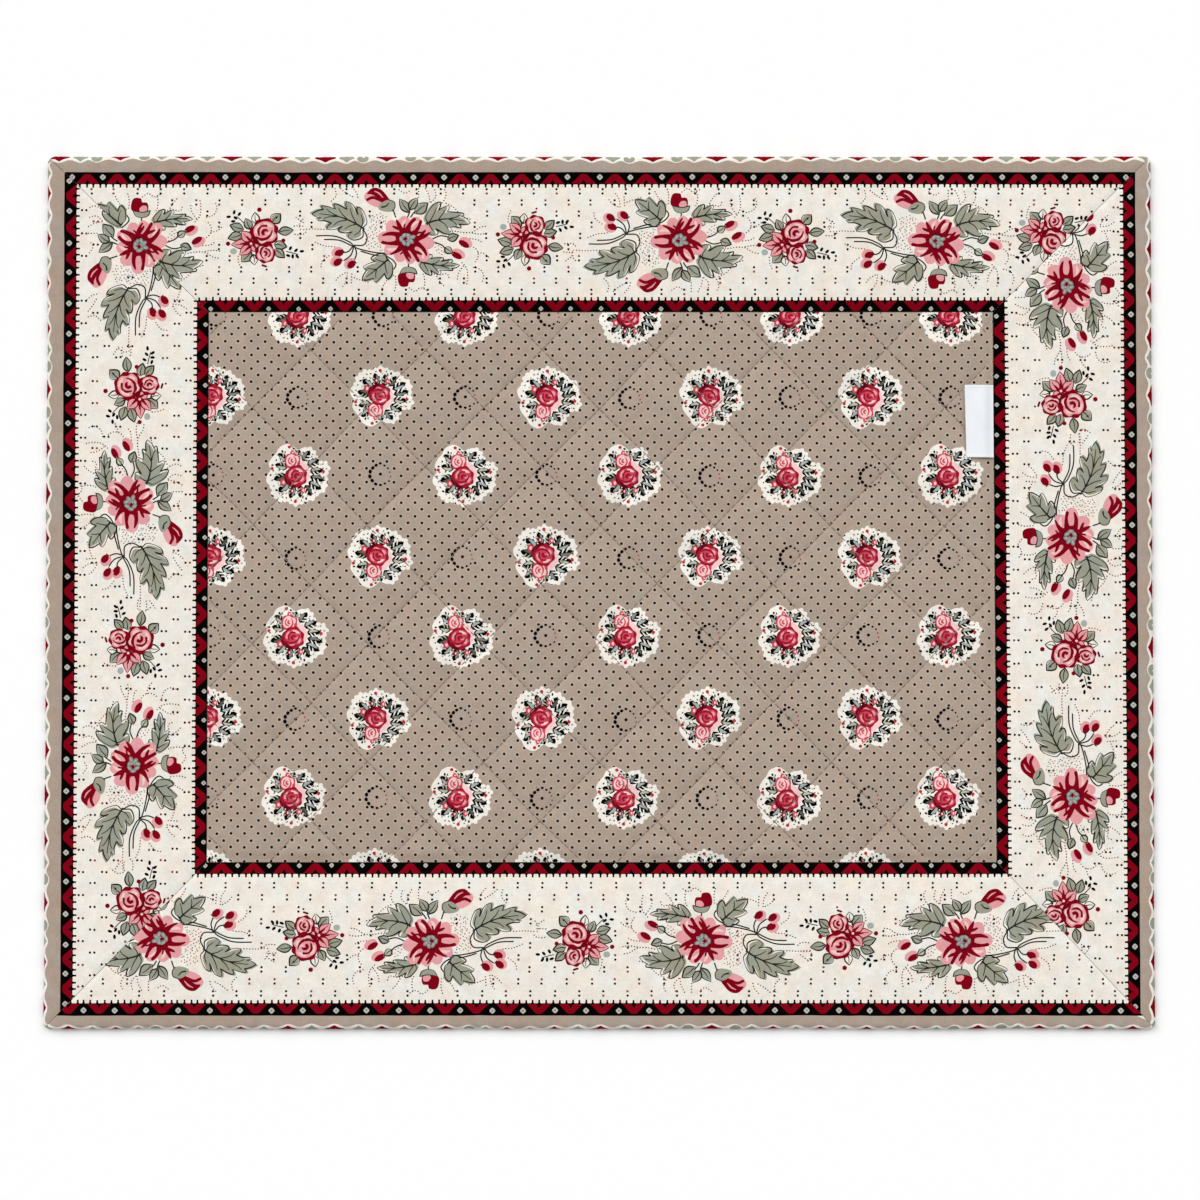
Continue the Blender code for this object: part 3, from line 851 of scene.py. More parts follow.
class Cloth:
    """A printed cloth made as one closed mesh. A subclass gives its plane, its print and its padded form."""

    name: str
    ground: Ink

    def rim(self) -> Points:
        """Corners of the cloth's outline in its plane, counter-clockwise."""
        raise NotImplementedError

    def relief(self) -> tuple[list, Points]:
        """Folds and places at which the padded form needs corners of triangles."""
        raise NotImplementedError

    def draw(self) -> Drawing:
        """The cloth's whole print."""
        raise NotImplementedError

    def lay(self, plane: Points) -> Points:
        """Carries places of the plane to the padded form, in mm."""
        raise NotImplementedError

    def build(self) -> bpy.types.Object:
        """Cuts the print and the cloth's outline into triangles, lays them and closes the underside.

        Returns:
            The cloth's object, with its print in a colour attribute and its plane in a UV map.
        """
        corners = self.rim()
        folds, loose = self.relief()
        patches = [patch for patch in self.draw().patches if self.touches(patch, corners)]
        outline = curve([corner for corner in corners for _ in (0, 1)], True, 1.8)
        loops = [outline, *folds, *(loop for patch in patches for loop in patch.loops)]
        plane, triangles = triangulate(loops, loose)
        centres = plane[triangles].mean(axis=1)
        kept = covered(centres, (corners,))
        triangles, centres = triangles[kept], centres[kept]
        inks = paint(centres, patches, self.ground)
        return self.close(plane, triangles, inks)

    def touches(self, patch: Patch, corners: Points) -> bool:
        """Whether a printed shape lies on the cloth at least in part."""
        return any(covered(loop, (corners,)).any() for loop in patch.loops)

    def close(self, plane: Points, triangles: Points, inks: list) -> bpy.types.Object:
        """Makes the closed mesh from the laid face.

        Args:
            plane: Places of the plane.
            triangles: The face's triangles.
            inks: One ink for each triangle.

        Returns:
            The cloth's object.
        """
        used, triangles = np.unique(triangles, return_inverse=True)
        triangles = triangles.reshape(-1, 3)
        plane = plane[used]
        top = self.lay(plane)
        loop = self.open_edge(triangles)
        standing = [k for k in loop if top[k, 2] > WELD]
        foot = {k: len(plane) + i for i, k in enumerate(standing)}
        places = np.vstack((top, top[standing] * (1, 1, 0)))
        plane = np.vstack((plane, plane[standing]))
        faces = [tuple(face) for face in triangles.tolist()]
        printed = len(faces)
        for start, end in zip(loop, loop[1:] + loop[:1]):
            wall = [end, start, foot.get(start, start), foot.get(end, end)]
            wall = list(dict.fromkeys(wall))
            if len(wall) > 2:
                faces.append(tuple(wall))
        under = [foot.get(k, k) for k in loop]
        faces.append(tuple(under[::-1]))
        mesh = bpy.data.meshes.new(self.name)
        mesh.from_pydata((places * MM).tolist(), [], faces)
        walls = len(faces) - printed - 1
        sides = [3] * printed + [len(face) for face in faces[printed:]]
        shades = np.array([linear(ink.value)[:3] for ink in inks] + [linear(self.ground.value)[:3]] * (walls + 1))
        dotted = np.array([0.0 if ink == self.ground else 1.0 for ink in inks] + [1.0] * (walls + 1))
        colours = np.repeat(np.column_stack((shades, dotted)), sides, axis=0)
        print_layer = mesh.color_attributes.new("print", "FLOAT_COLOR", "CORNER")
        print_layer.data.foreach_set("color", colours.astype(np.float32).ravel())
        corner_places = np.concatenate([np.array(face) for face in faces])
        mesh.uv_layers.new(name="plane").uv.foreach_set("vector", plane[corner_places].astype(np.float32).ravel())
        mesh.polygons.foreach_set("material_index", [0] * (printed + walls) + [1])
        self.crease(mesh, loop, under)
        mesh.validate()
        return add_object(self.name, mesh)

    def open_edge(self, triangles: Points) -> list:
        """Walks round the face's open edge.

        Args:
            triangles: The face's triangles, counter-clockwise in the plane.

        Returns:
            The numbers of the corners on it, in order.
        """
        directed = np.vstack((triangles[:, (0, 1)], triangles[:, (1, 2)], triangles[:, (2, 0)]))
        following = {}
        pairs = set(map(tuple, directed.tolist()))
        for start, end in pairs:
            if (end, start) not in pairs:
                following[start] = end
        loop = [min(following)]
        while following[loop[-1]] != loop[0]:
            loop.append(following[loop[-1]])
        return loop

    def crease(self, mesh: bpy.types.Mesh, loop: list, under: list) -> None:
        """Shades the mesh smooth apart from the edges of its walls.

        Args:
            mesh: The cloth's mesh.
            loop: The corners round the face's open edge.
            under: The corners below them.
        """
        mesh.shade_smooth()
        sharp_pairs = set()
        for ring in (loop, under):
            for start, end in zip(ring, ring[1:] + ring[:1]):
                sharp_pairs.add((min(start, end), max(start, end)))
        sharp = mesh.attributes.new("sharp_edge", "BOOLEAN", "EDGE")
        marks = [tuple(sorted(edge.vertices)) in sharp_pairs for edge in mesh.edges]
        sharp.data.foreach_set("value", marks)


@dataclass(frozen=True)
class MatPlan:
    """Sizes of the whole mat in mm: the frame's, but with closer seams and shallower, narrower mitres."""

    width: float = 482.0
    depth: float = 380.0
    corner_radius: float = 3.2
    edge_wander: float = 0.35
    edge_wander_reach: float = 12.0
    mitre_calm: float = 20.0
    band_top: float = 68.4
    band_bottom: float = 72.2
    band_left: float = 70.7
    band_right_at_top: float = 69.4
    band_right_at_bottom: float = 68.6
    seam_gap: float = 0.18
    seam_height: float = 2.4
    band_crown: float = 3.95
    panel_crown: float = 4.3
    channel_height: float = 2.7
    seam_shoulder: float = 5.0
    mitre_depth: float = 0.45
    mitre_width: float = 1.1
    loft_wander: float = 0.16
    diamond_width: float = 50.2
    diamond_depth: float = 51.3
    first_crown_from_left: float = 19.4
    first_crown_from_top: float = 16.1
    quilt_wander: float = 0.7
    channel_sharpness: float = 0.62

    def outer(self, corner: str) -> Points:
        """A corner of the mat's outline, named as seen from above."""
        across = -self.width / 2 if "left" in corner else self.width / 2
        return np.array((across, self.depth / 2 if "top" in corner else -self.depth / 2))

    def inner(self, corner: str) -> Points:
        """A corner of the centre panel.

        Args:
            corner: Its name as seen from above, such as top_left.

        Returns:
            Its place.
        """
        right_band = self.band_right_at_top if "top" in corner else self.band_right_at_bottom
        across = self.band_left if "left" in corner else -right_band
        return self.outer(corner) + (across, -self.band_top if "top" in corner else self.band_bottom)

    @property
    def first_crown(self) -> Points:
        """The middle of the first whole diamond of the quilting."""
        return self.inner("top_left") + (self.first_crown_from_left, -self.first_crown_from_top)

    def rounded(self, places: Points) -> Points:
        """Turns the square corners of the mat's outline to arcs.

        Args:
            places: Places on the square mat.

        Returns:
            The same places on the rounded one.
        """
        half = np.array((self.width, self.depth)) / 2 - self.corner_radius
        beyond = np.abs(places) - half
        both = (beyond > 0).all(axis=1)
        far = np.where(both, np.hypot(*np.maximum(beyond, 1e-9).T), 1.0)
        shrink = np.where(both, np.maximum(beyond[:, 0], beyond[:, 1]) / far, 1.0)
        bent = np.sign(places) * (half + beyond * shrink[:, None])
        return np.where(both[:, None], bent, places)


PLAN = MatPlan()


class Motif(Enum):
    """What a placing prints."""

    SPRAY = "spray"
    POSY = "posy"


@dataclass(frozen=True)
class Placing:
    """Where a motif is printed: its place on the mat in mm, and whether it is turned over."""

    motif: Motif
    x: float
    y: float
    mirrored: bool = False


class EdgeMotif(Enum):
    """A motif of the outer edge, of which the fold leaves a part."""

    LOZENGE = "lozenge"
    LEAF = "leaf"
    DISC = "disc"


EDGE_REPEAT = (
    (0.0, EdgeMotif.LOZENGE), (0.09, EdgeMotif.DISC), (0.155, EdgeMotif.LEAF), (0.24, EdgeMotif.LOZENGE),
    (0.327, EdgeMotif.LEAF), (0.418, EdgeMotif.LOZENGE), (0.503, EdgeMotif.LEAF), (0.592, EdgeMotif.LOZENGE),
    (0.683, EdgeMotif.LEAF), (0.77, EdgeMotif.LOZENGE), (0.85, EdgeMotif.LEAF), (0.911, EdgeMotif.DISC),
)


@dataclass(frozen=True)
class Galon:
    """The black printed braid along a strip's edge: crimson chevrons, pale dots and a row of teeth."""

    width: float
    dot_depth: float
    dot_radius: float
    base_line: float = 0.38
    chevron_half: float = 5.1
    chevron_reach: float = 4.2
    notch: float = 1.75
    tooth_pitch: float = 2.9
    tooth_length: float = 1.4
    tooth_width: float = 0.78
    unevenness: float = 0.5

    def draw(self, sheet: Drawing, length: float, edges: tuple, faces: float, pitch: float, phase: float) -> None:
        """Prints the braid from end to end of a strip.

        Args:
            sheet: The drawing to add to.
            length: The strip's length.
            edges: The braid's side away from the cream field, at the strip's start and end.
            faces: -1 where the cream field lies below the braid in the plane, 1 where it lies above.
            pitch: The space from dot to dot.
            phase: Where the first dot stands.
        """
        def at(along: float, depth: float) -> tuple:
            """The place along the strip at a depth from the braid's far side to the cream."""
            edge = edges[0] + (edges[1] - edges[0]) * along / length
            return along, edge + faces * depth

        far = [at(x, 0.08 * unevenness(k, 3)) for k, x in enumerate(np.arange(-2, length + 8, 5.0))]
        near = [at(x, self.width + 0.1 * unevenness(k, 4)) for k, x in enumerate(np.arange(-2, length + 8, 5.0))]
        sheet.fill(far + near[::-1], Ink.BLACK, corners=True)
        base = self.width - self.base_line
        tip = base - self.chevron_reach
        spots = [phase + k * pitch + self.unevenness * unevenness(k, 6) for k in range(-1, int(length / pitch) + 2)]
        for k, (spot, after) in enumerate(zip(spots, spots[1:])):
            x, half = (spot + after) / 2, (after - spot) / pitch * self.chevron_half
            sheet.fill([at(x - half, base), at(x - 1.5, tip + 0.3), at(x - 0.6, tip), at(x + 0.6, tip),
                        at(x + 1.5, tip + 0.3), at(x + half, base), at(x + 1.15, base),
                        at(x + 0.55, base - self.notch * 0.5), at(x, base - self.notch),
                        at(x - 0.55, base - self.notch * 0.5), at(x - 1.15, base)], Ink.GALON_RED, corners=True)
            middle = np.array(at(spot, self.dot_depth + 0.12 * unevenness(k, 9)))
            for share, ink in ((1.0, Ink.PALE_GREY), (0.4, Ink.GREY)):
                reach = [self.dot_radius * share * (1.06 if j % 2 == 0 else 0.87) for j in range(8)]
                sheet.fill([middle + (r * cos(j * pi / 4), r * sin(j * pi / 4)) for j, r in enumerate(reach)], ink)
        for k in range(int(length / self.tooth_pitch) + 1):
            x = k * self.tooth_pitch + 0.3 * unevenness(k, 10)
            reach = self.width + self.tooth_length + 0.15 * unevenness(k, 11)
            half = self.tooth_width / 2
            sheet.fill([at(x + 0.6, self.width), at(x + self.tooth_pitch - 0.6, self.width),
                        at(x + self.tooth_pitch - 0.8, reach - 0.2), at(x + 0.8, reach - 0.2)],
                       Ink.TINT if unevenness(k, 12) > 0.3 else Ink.MEDALLION_WHITE, corners=True)
            sheet.fill([at(x - half * 1.9, self.width - 0.3), at(x + half * 1.9, self.width - 0.3),
                        at(x + half, self.width + 0.45), at(x + half, reach), at(x - half, reach),
                        at(x - half, self.width + 0.45)], Ink.BLACK, corners=True)


@dataclass(frozen=True)
class BorderStrip(Cloth):
    """A border strip with its print, mitred at both ends, padded and rolled under at its outer edge."""

    name: str
    node: str
    start: str
    end: str
    braid_starts: tuple
    wave_inset: float
    edge_repeat: tuple
    outer_dots: tuple
    inner_dots: tuple
    pair_rows: tuple
    pair_run: tuple
    placings: tuple
    ground: Ink = Ink.IVORY
    roll_reach: float = 1.84
    roll_inset: float = 1.1
    roll_height: float = 1.35
    edge_height: float = 3.5
    edge_inset: float = 2.3
    wave_swing: float = 0.62
    outer_braid: Galon = Galon(width=5.45, dot_depth=2.25, dot_radius=1.22)
    inner_braid: Galon = Galon(width=5.05, dot_depth=1.4, dot_radius=1.0)
    pair_row_count: int = 10
    pair_half: float = 0.95
    pair_radius: float = 0.56
    motif_clearance: float = 1.9
    least_motif: float = 1.6

    @property
    def length(self) -> float:
        """The outer edge's length in mm."""
        return float(np.hypot(*(PLAN.outer(self.end) - PLAN.outer(self.start))))

    @property
    def ahead(self) -> Points:
        """The direction from the strip's start to its end."""
        return (PLAN.outer(self.end) - PLAN.outer(self.start)) / self.length

    @property
    def outward(self) -> Points:
        """The direction across the strip to its outer edge."""
        return np.array((-self.ahead[1], self.ahead[0]))

    @property
    def band(self) -> float:
        """The strip's mean width."""
        depths = [-(PLAN.inner(c) - PLAN.outer(c)) @ self.outward for c in (self.start, self.end)]
        return sum(depths) / 2

    def ends(self, inset: Points) -> tuple[Points, Points]:
        """Where the strip starts and ends along its run.

        Args:
            inset: How far from its outer edge.

        Returns:
            Its start and its end there.
        """
        found = []
        for corner, way in ((self.start, 1.0), (self.end, -1.0)):
            mitre = PLAN.inner(corner) - PLAN.outer(corner)
            gap = PLAN.seam_gap / 2 * hypot(*mitre) / (-mitre @ self.outward)
            corner_along = 0.0 if way > 0 else self.length
            found.append(corner_along + (mitre @ self.ahead) * inset / self.band + way * gap)
        return found[0], found[1]

    def rim(self) -> Points:
        """Corners of the cloth's outline in its plane, counter-clockwise."""
        seam = self.band - PLAN.seam_gap / 2
        rows = ((self.roll_reach, self.roll_inset), (0.0, 0.0), (-seam, seam))
        left = [(self.ends(inset)[0], out) for out, inset in rows]
        right = [(self.ends(inset)[1], out) for out, inset in rows]
        return np.array(left + right[::-1])

    def relief(self) -> tuple[list, Points]:
        """Rows of places along the strip, closer together at the rolled edge, the seam and the mitres."""
        seam = self.band - PLAN.seam_gap / 2
        outs = [1.4, 0.95, 0.5, 0.06, -0.06, -0.25, -0.55, -1.0, -1.6, -2.3, -3.3]
        outs += list(np.arange(-5.0, -seam + 5.0, -2.7)) + [-seam + 4.0, -seam + 2.6, -seam + 1.4, -seam + 0.5]
        places = []
        for k, out in enumerate(outs):
            first, last = self.ends(abs(min(out, 0.0)))
            run = np.arange(first + 0.6 + (k % 2) * 1.2, last - 0.6, 2.4)
            places.append(np.column_stack((run, np.full(len(run), out))))
        for off in (0.5, 1.2, 2.1, 3.2, 4.6):
            depths = np.arange(1.0, seam - 1.0, 1.6)
            for way, along in zip((1.0, -1.0), self.ends(depths)):
                places.append(np.column_stack((along + way * off * 1.4, -depths)))
        return [], np.vstack(places)

    def lay(self, plane: Points) -> Points:
        """Carries places of the plane to the padded strip.

        Args:
            plane: The places.

        Returns:
            Where they lie on the mat, in mm.
        """
        along, out = plane[:, 0], plane[:, 1]
        under = np.clip(out / self.roll_reach, 0.0, 1.0) * pi / 2
        inset = np.where(out > 0, self.roll_inset * (1 - np.cos(under)), -out)
        first, last = self.ends(inset)
        station = (along - first) / (last - first)
        start, end = PLAN.outer(self.start), PLAN.outer(self.end)
        share = (inset / self.band)[:, None]
        begins = start + (PLAN.inner(self.start) - start) * share
        stops = end + (PLAN.inner(self.end) - end) * share
        gap = PLAN.seam_gap / 2 * 1.41
        begins, stops = begins + self.ahead * gap, stops - self.ahead * gap
        flat = begins + (stops - begins) * station[:, None]
        height = np.where(out > 0, self.roll_height * (1 - np.sin(under)), self.section(inset))
        near_mitre = np.minimum((along - first), (last - along)) * 0.71
        room = np.clip((height - PLAN.seam_height) / (PLAN.band_crown - PLAN.seam_height), 0.0, 1.0)
        lift = PLAN.loft_wander * drift(1.7 * flat[:, 1], 1.3 * flat[:, 0])
        groove = PLAN.mitre_depth * np.exp(-((near_mitre / PLAN.mitre_width) ** 2))
        height = height + (lift - groove) * room
        fade = np.clip(1 - inset / PLAN.edge_wander_reach, 0.0, 1.0)
        calm = smooth_step(near_mitre / PLAN.mitre_calm)
        sway = PLAN.edge_wander * np.abs(drift(flat[:, 0], flat[:, 1])) * fade * calm
        return np.column_stack((PLAN.rounded(flat - self.outward * sway[:, None]), height))

    def section(self, inset: Points) -> Points:
        """Height of the padded face.

        Args:
            inset: How far from the outer edge.

        Returns:
            The heights in mm.
        """
        turn = np.sqrt(np.clip(1 - (1 - inset / self.edge_inset) ** 2, 0.0, 1.0))
        edge = self.roll_height + (self.edge_height - self.roll_height) * turn
        seam = self.band - PLAN.seam_gap / 2
        places = [2.3, 4.6, 8.5, 20.0, 38.0, seam - 13.0, seam - 5.0, seam - 1.5, seam]
        heights = [3.5, 3.6, 3.42, 3.75, PLAN.band_crown, 3.75, 3.35, 2.8, PLAN.seam_height]
        slopes = np.gradient(heights, places)
        slopes[0] = 0.0
        k = np.clip(np.searchsorted(places, inset) - 1, 0, len(places) - 2)
        places, heights = np.array(places), np.array(heights)
        span = places[k + 1] - places[k]
        t = np.clip((inset - places[k]) / span, 0.0, 1.0)
        face = (
            (2 * t**3 - 3 * t**2 + 1) * heights[k]
            + (t**3 - 2 * t**2 + t) * span * slopes[k]
            + (3 * t**2 - 2 * t**3) * heights[k + 1]
            + (t**3 - t**2) * span * slopes[k + 1]
        )
        return np.where(inset < self.edge_inset, edge, face)

    def draw(self) -> Drawing:
        """The strip's whole print: edge bands, braids, motifs and dot pairs."""
        sheet = Drawing()
        self.draw_edge(sheet)
        starts = tuple(-inset for inset in self.braid_starts)
        self.outer_braid.draw(sheet, self.length, starts, -1.0, *self.outer_dots)
        self.inner_braid.draw(sheet, self.length, (-self.band, -self.band), 1.0, *self.inner_dots)
        motifs = Drawing()
        drawings = {Motif.SPRAY: Spray().draw(), Motif.POSY: Posy().draw()}
        for placing in self.placings:
            offset = np.array((placing.x, placing.y)) - PLAN.outer(self.start)
            at = (offset @ self.ahead, offset @ self.outward)
            motifs.place(drawings[placing.motif], at, placing.mirrored)
        self.draw_pairs(sheet, motifs)
        sheet.patches += motifs.patches
        return sheet

    def edge_motifs(self) -> list:
        """The motifs of the outer edge, each with its place along the strip."""
        first, repeat = self.edge_repeat
        found = []
        for j in range(-2, int(self.length / repeat) + 2):
            for share, motif in EDGE_REPEAT:
                found.append((first + (j + share) * repeat, motif))
        return found

    def draw_edge(self, sheet: Drawing) -> None:
        """Prints the outer bands: ivory with cut motifs, then taupe behind a line that waves round them.

        Args:
            sheet: The drawing to add to.
        """
        motifs = self.edge_motifs()
        along = np.arange(-3.0, self.length + 3.0, 0.7)
        turns = np.interp(along, [place for place, _ in motifs], np.arange(len(motifs)))
        wavy = -(self.wander(along) + self.wave_swing * np.cos(2 * pi * turns))
        braid = np.interp(along, (0.0, self.length), self.braid_starts)
        straight = np.column_stack((along, -braid - 0.2))
        band = np.vstack((np.column_stack((along, wavy)), straight[::-20]))
        sheet.fill(band, Ink.TAUPE, corners=True)
        line = np.array([(0.0, -self.braid_starts[0]), (self.length, -self.braid_starts[1])])
        sheet.fill(np.vstack((line + (0, 0.62), line[::-1] + (0, 0.2))), Ink.PALE_TAUPE, corners=True)
        for x, motif in motifs:
            y = 1.8 - float(self.wander(np.array(x)))
            if motif == EdgeMotif.DISC:
                sheet.dot(x, y - 0.2, 1.85, Ink.SAGE, sides=16, stretch=1.36)
                sheet.dot(x + 0.2, y + 0.5, 0.5, Ink.IVORY, sides=7, stretch=1.2)
            else:
                ink, half = (Ink.SAGE, 3.4) if motif == EdgeMotif.LEAF else (Ink.GALON_RED, 4.7)
                sheet.fill([(x - half, y + 0.3), (x - half * 0.4, y - 0.9), (x, y - 1.9), (x, y - 1.9),
                            (x + half * 0.4, y - 0.9), (x + half, y + 0.3), (x, y + 2.2)], ink)

    def wander(self, along: Points) -> Points:
        """How deep the wavy line's middle lies, as the fold strays from the printed rows."""
        phase = len(self.name)
        return self.wave_inset + 0.36 * np.sin(along / 24 + phase) + 0.22 * np.sin(along / 9.3 + 2.1 * phase)

    def draw_pairs(self, sheet: Drawing, motifs: Drawing) -> None:
        """Prints the cream field's pairs of dots, apart from where a motif stands.

        Args:
            sheet: The drawing to add to.
            motifs: What the pairs keep clear of.
        """
        loops = [loop for patch in motifs.patches for loop in patch.loops]
        taken = np.vstack([loop for loop in loops if np.ptp(loop, axis=0).max() > self.least_motif])
        (first, row_pitch), (start, pitch) = self.pair_rows, self.pair_run
        for j in range(self.pair_row_count):
            y = -first - j * row_pitch
            for i in range(-1, int(self.length / pitch) + 2):
                x = start + i * pitch + (j % 2) * pitch / 2 + 0.35 * unevenness(i, j)
                near = taken[np.abs(taken[:, 0] - x) < self.motif_clearance]
                if len(near) and np.hypot(near[:, 0] - x, near[:, 1] - y).min() < self.motif_clearance:
                    continue
                for way in (-self.pair_half, self.pair_half):
                    ink = Ink.RUST if unevenness(i + way, j + 3) > 0.7 else Ink.DOT_BROWN
                    sheet.dot(x + 0.1 * unevenness(i, way), y + way, self.pair_radius, ink, sides=7)


@dataclass(frozen=True)
class QuiltedPanel(Cloth):
    """The taupe centre panel: medallions and dot rings, quilted on the diagonal."""

    name: str = "centre_cloth"
    ground: Ink = Ink.PANEL_TAUPE
    half_repeat: float = 36.86
    half_repeat_loss: float = 0.14
    first_column: float = -167.6
    row_pitch: float = 69.97
    row_lean: float = 0.0123
    first_rows: tuple = (120.3, 84.4)

    @property
    def corners(self) -> Points:
        """The panel's corners in the mat's axes, before its right side's lean."""
        gap = PLAN.seam_gap / 2
        low = PLAN.inner("bottom_left") + gap
        high = PLAN.inner("top_right") - gap
        return np.array((low, (high[0], low[1]), high, (low[0], high[1])))

    def rim(self) -> Points:
        """Corners of the cloth's outline in its plane, counter-clockwise."""
        return self.corners

    def quilting(self) -> list:
        """The stitched lines, as pairs of end points inside the panel."""
        low, high = self.corners[0], self.corners[2]
        lines = []
        for slant in (1.0, -1.0):
            for k in range(-9, 16):
                run = np.array((PLAN.diamond_width, slant * PLAN.diamond_depth))
                foot = PLAN.first_crown + ((k - 0.5) * PLAN.diamond_width, 0.0)
                shares = np.sort(np.vstack(((low - foot) / run, (high - foot) / run)), axis=0)
                first, last = shares[0].max(), shares[1].min()
                if last - first > 0.06:
                    lines.append((foot + run * first, foot + run * last))
        return lines

    def relief(self) -> tuple[list, Points]:
        """Places along the stitched lines and beside them, round the seam, and on a plain grid."""
        low, high = self.corners[0], self.corners[2]
        places = []
        for start, end in self.quilting():
            run = end - start
            length = hypot(*run)
            side = np.array((-run[1], run[0])) / length
            for off in (0.0, 0.7, -0.7, 1.9, -1.9):
                shares = np.linspace(0, 1, int(length / 2.2) + 2)[1:-1, None]
                places.append(start + run * shares + side * off)
        for inset in (0.7, 1.5, 2.5, 3.7, 5.0):
            box = [low + inset, (high[0] - inset, low[1] + inset), high - inset, (low[0] + inset, high[1] - inset)]
            places.append(curve([corner for corner in box for _ in (0, 1)], True, 2.2))
        grid = np.meshgrid(np.arange(low[0] + 3, high[0] - 3, 3.5), np.arange(low[1] + 3, high[1] - 3, 3.5))
        places.append(np.column_stack([axis.ravel() for axis in grid]))
        places = np.vstack(places)
        inside = ((places > low + 0.3) & (places < high - 0.3)).all(axis=1)
        return [], places[inside]

    def lay(self, plane: Points) -> Points:
        """Carries places of the plane to the quilted panel.

        Args:
            plane: The places.

        Returns:
            Where they lie on the mat, in mm.
        """
        low, high = self.corners[0], self.corners[2]
        edge = np.minimum(plane - low, high - plane).min(axis=1)
        height = self.height(plane, edge)
        a, b = plane[:, 0], plane[:, 1]
        stray = PLAN.quilt_wander * np.column_stack(
            (drift(0.8 * a, 0.9 * b), drift(0.9 * b + 3000.0, 0.8 * a + 5000.0)))
        fade = smooth_step(edge / PLAN.seam_shoulder / 2)
        lean = PLAN.inner("bottom_right")[0] - PLAN.inner("top_right")[0]
        slant = lean * (high[1] - b) / (high[1] - low[1]) * (a - low[0]) / (high[0] - low[0])
        return np.column_stack((plane + stray * fade[:, None] + np.column_stack((slant, 0 * slant)), height))

    def height(self, plane: Points, edge: Points, least_rise: float = 0.0) -> Points:
        """Height of the quilted face.

        Args:
            plane: The places.
            edge: How far each lies from the nearest seam.
            least_rise: The least share of a diamond's crown, for what bridges the channels.

        Returns:
            The heights in mm.
        """
        across = (plane[:, 0] - PLAN.first_crown[0]) / PLAN.diamond_width
        down = (PLAN.first_crown[1] - plane[:, 1]) / PLAN.diamond_depth
        rise = np.abs(np.sin(pi * (across + down + 0.5))) * np.abs(np.sin(pi * (across - down + 0.5)))
        rise = np.maximum(rise, least_rise)
        crown = PLAN.channel_height + (PLAN.panel_crown - PLAN.channel_height) * rise**PLAN.channel_sharpness
        crown = crown + PLAN.loft_wander * drift(1.9 * plane[:, 0], 1.6 * plane[:, 1]) * rise
        return PLAN.seam_height + (crown - PLAN.seam_height) * smooth_step(edge / PLAN.seam_shoulder)

    def draw(self) -> Drawing:
        """The panel's print above its dotted ground."""
        sheet = Drawing()
        medallion, ring = Medallion().draw(), DotRing().draw()
        low, high = self.corners[0] - 16, self.corners[2] + 16
        for row, first_y in enumerate(self.first_rows):
            for j in range(-1, 5):
                y = first_y - j * self.row_pitch
                for column in range(-1, 11):
                    x = self.first_column + (self.half_repeat - self.half_repeat_loss * column) * column
                    x -= self.row_lean * (self.first_rows[1] - y)
                    if low[0] < x < high[0] and low[1] < y < high[1]:
                        if column % 2 == (row + 1) % 2:
                            sheet.place(medallion, (x, y), mirrored=row == 1)
                        else:
                            sheet.place(ring, (x, y))
        return sheet


@dataclass(frozen=True)
class Stitching:
    """Quilting thread: short stitches of brown cotton thread in the panel's channels."""

    panel: QuiltedPanel
    pitch: float = 2.9
    half_length: float = 1.38
    radius: float = 0.27
    sink: float = 0.03
    name: str = "quilting_thread"

    def build(self) -> bpy.types.Object:
        """Models one stitch and lays its copies along every stitched line.

        Returns:
            All stitches as one object.
        """
        bpy.ops.object.select_all(action="DESELECT")
        bpy.ops.mesh.primitive_uv_sphere_add(segments=6, ring_count=5, radius=self.radius * MM)
        bpy.ops.object.mode_set(mode="EDIT")
        bpy.ops.mesh.select_all(action="SELECT")
        bpy.ops.transform.resize(value=(self.half_length / self.radius, 1.0, 0.8), center_override=(0, 0, 0))
        bpy.ops.object.mode_set(mode="OBJECT")
        sample = bpy.context.active_object
        shape = np.array([tuple(vertex.co) for vertex in sample.data.vertices]) / MM
        faces = [tuple(face.vertices) for face in sample.data.polygons]
        bpy.data.objects.remove(sample)
        places, all_faces = [], []
        for start, end in self.panel.quilting():
            run = end - start
            length = hypot(*run)
            ahead = run / length
            side = np.array((-ahead[1], ahead[0]))
            count = int((length - 3.0) / self.pitch)
            for k in range(count):
                middle = start + ahead * (2.2 + k * self.pitch + 0.25 * unevenness(k, start[0]))
                flat = middle + shape[:, :1] * ahead + shape[:, 1:2] * side
                laid = self.panel.lay(flat)
                channel = self.panel.lay(middle + shape[:, :1] * ahead)[:, 2]
                first = len(places) * len(shape)
                height = channel - self.sink + shape[:, 2] + self.radius * 0.5
                places.append(np.column_stack((laid[:, :2], height)))
                all_faces += [tuple(k + first for k in face) for face in faces]
        mesh = bpy.data.meshes.new(self.name)
        mesh.from_pydata((np.vstack(places) * MM).tolist(), [], all_faces)
        mesh.shade_smooth()
        return add_object(self.name, mesh)


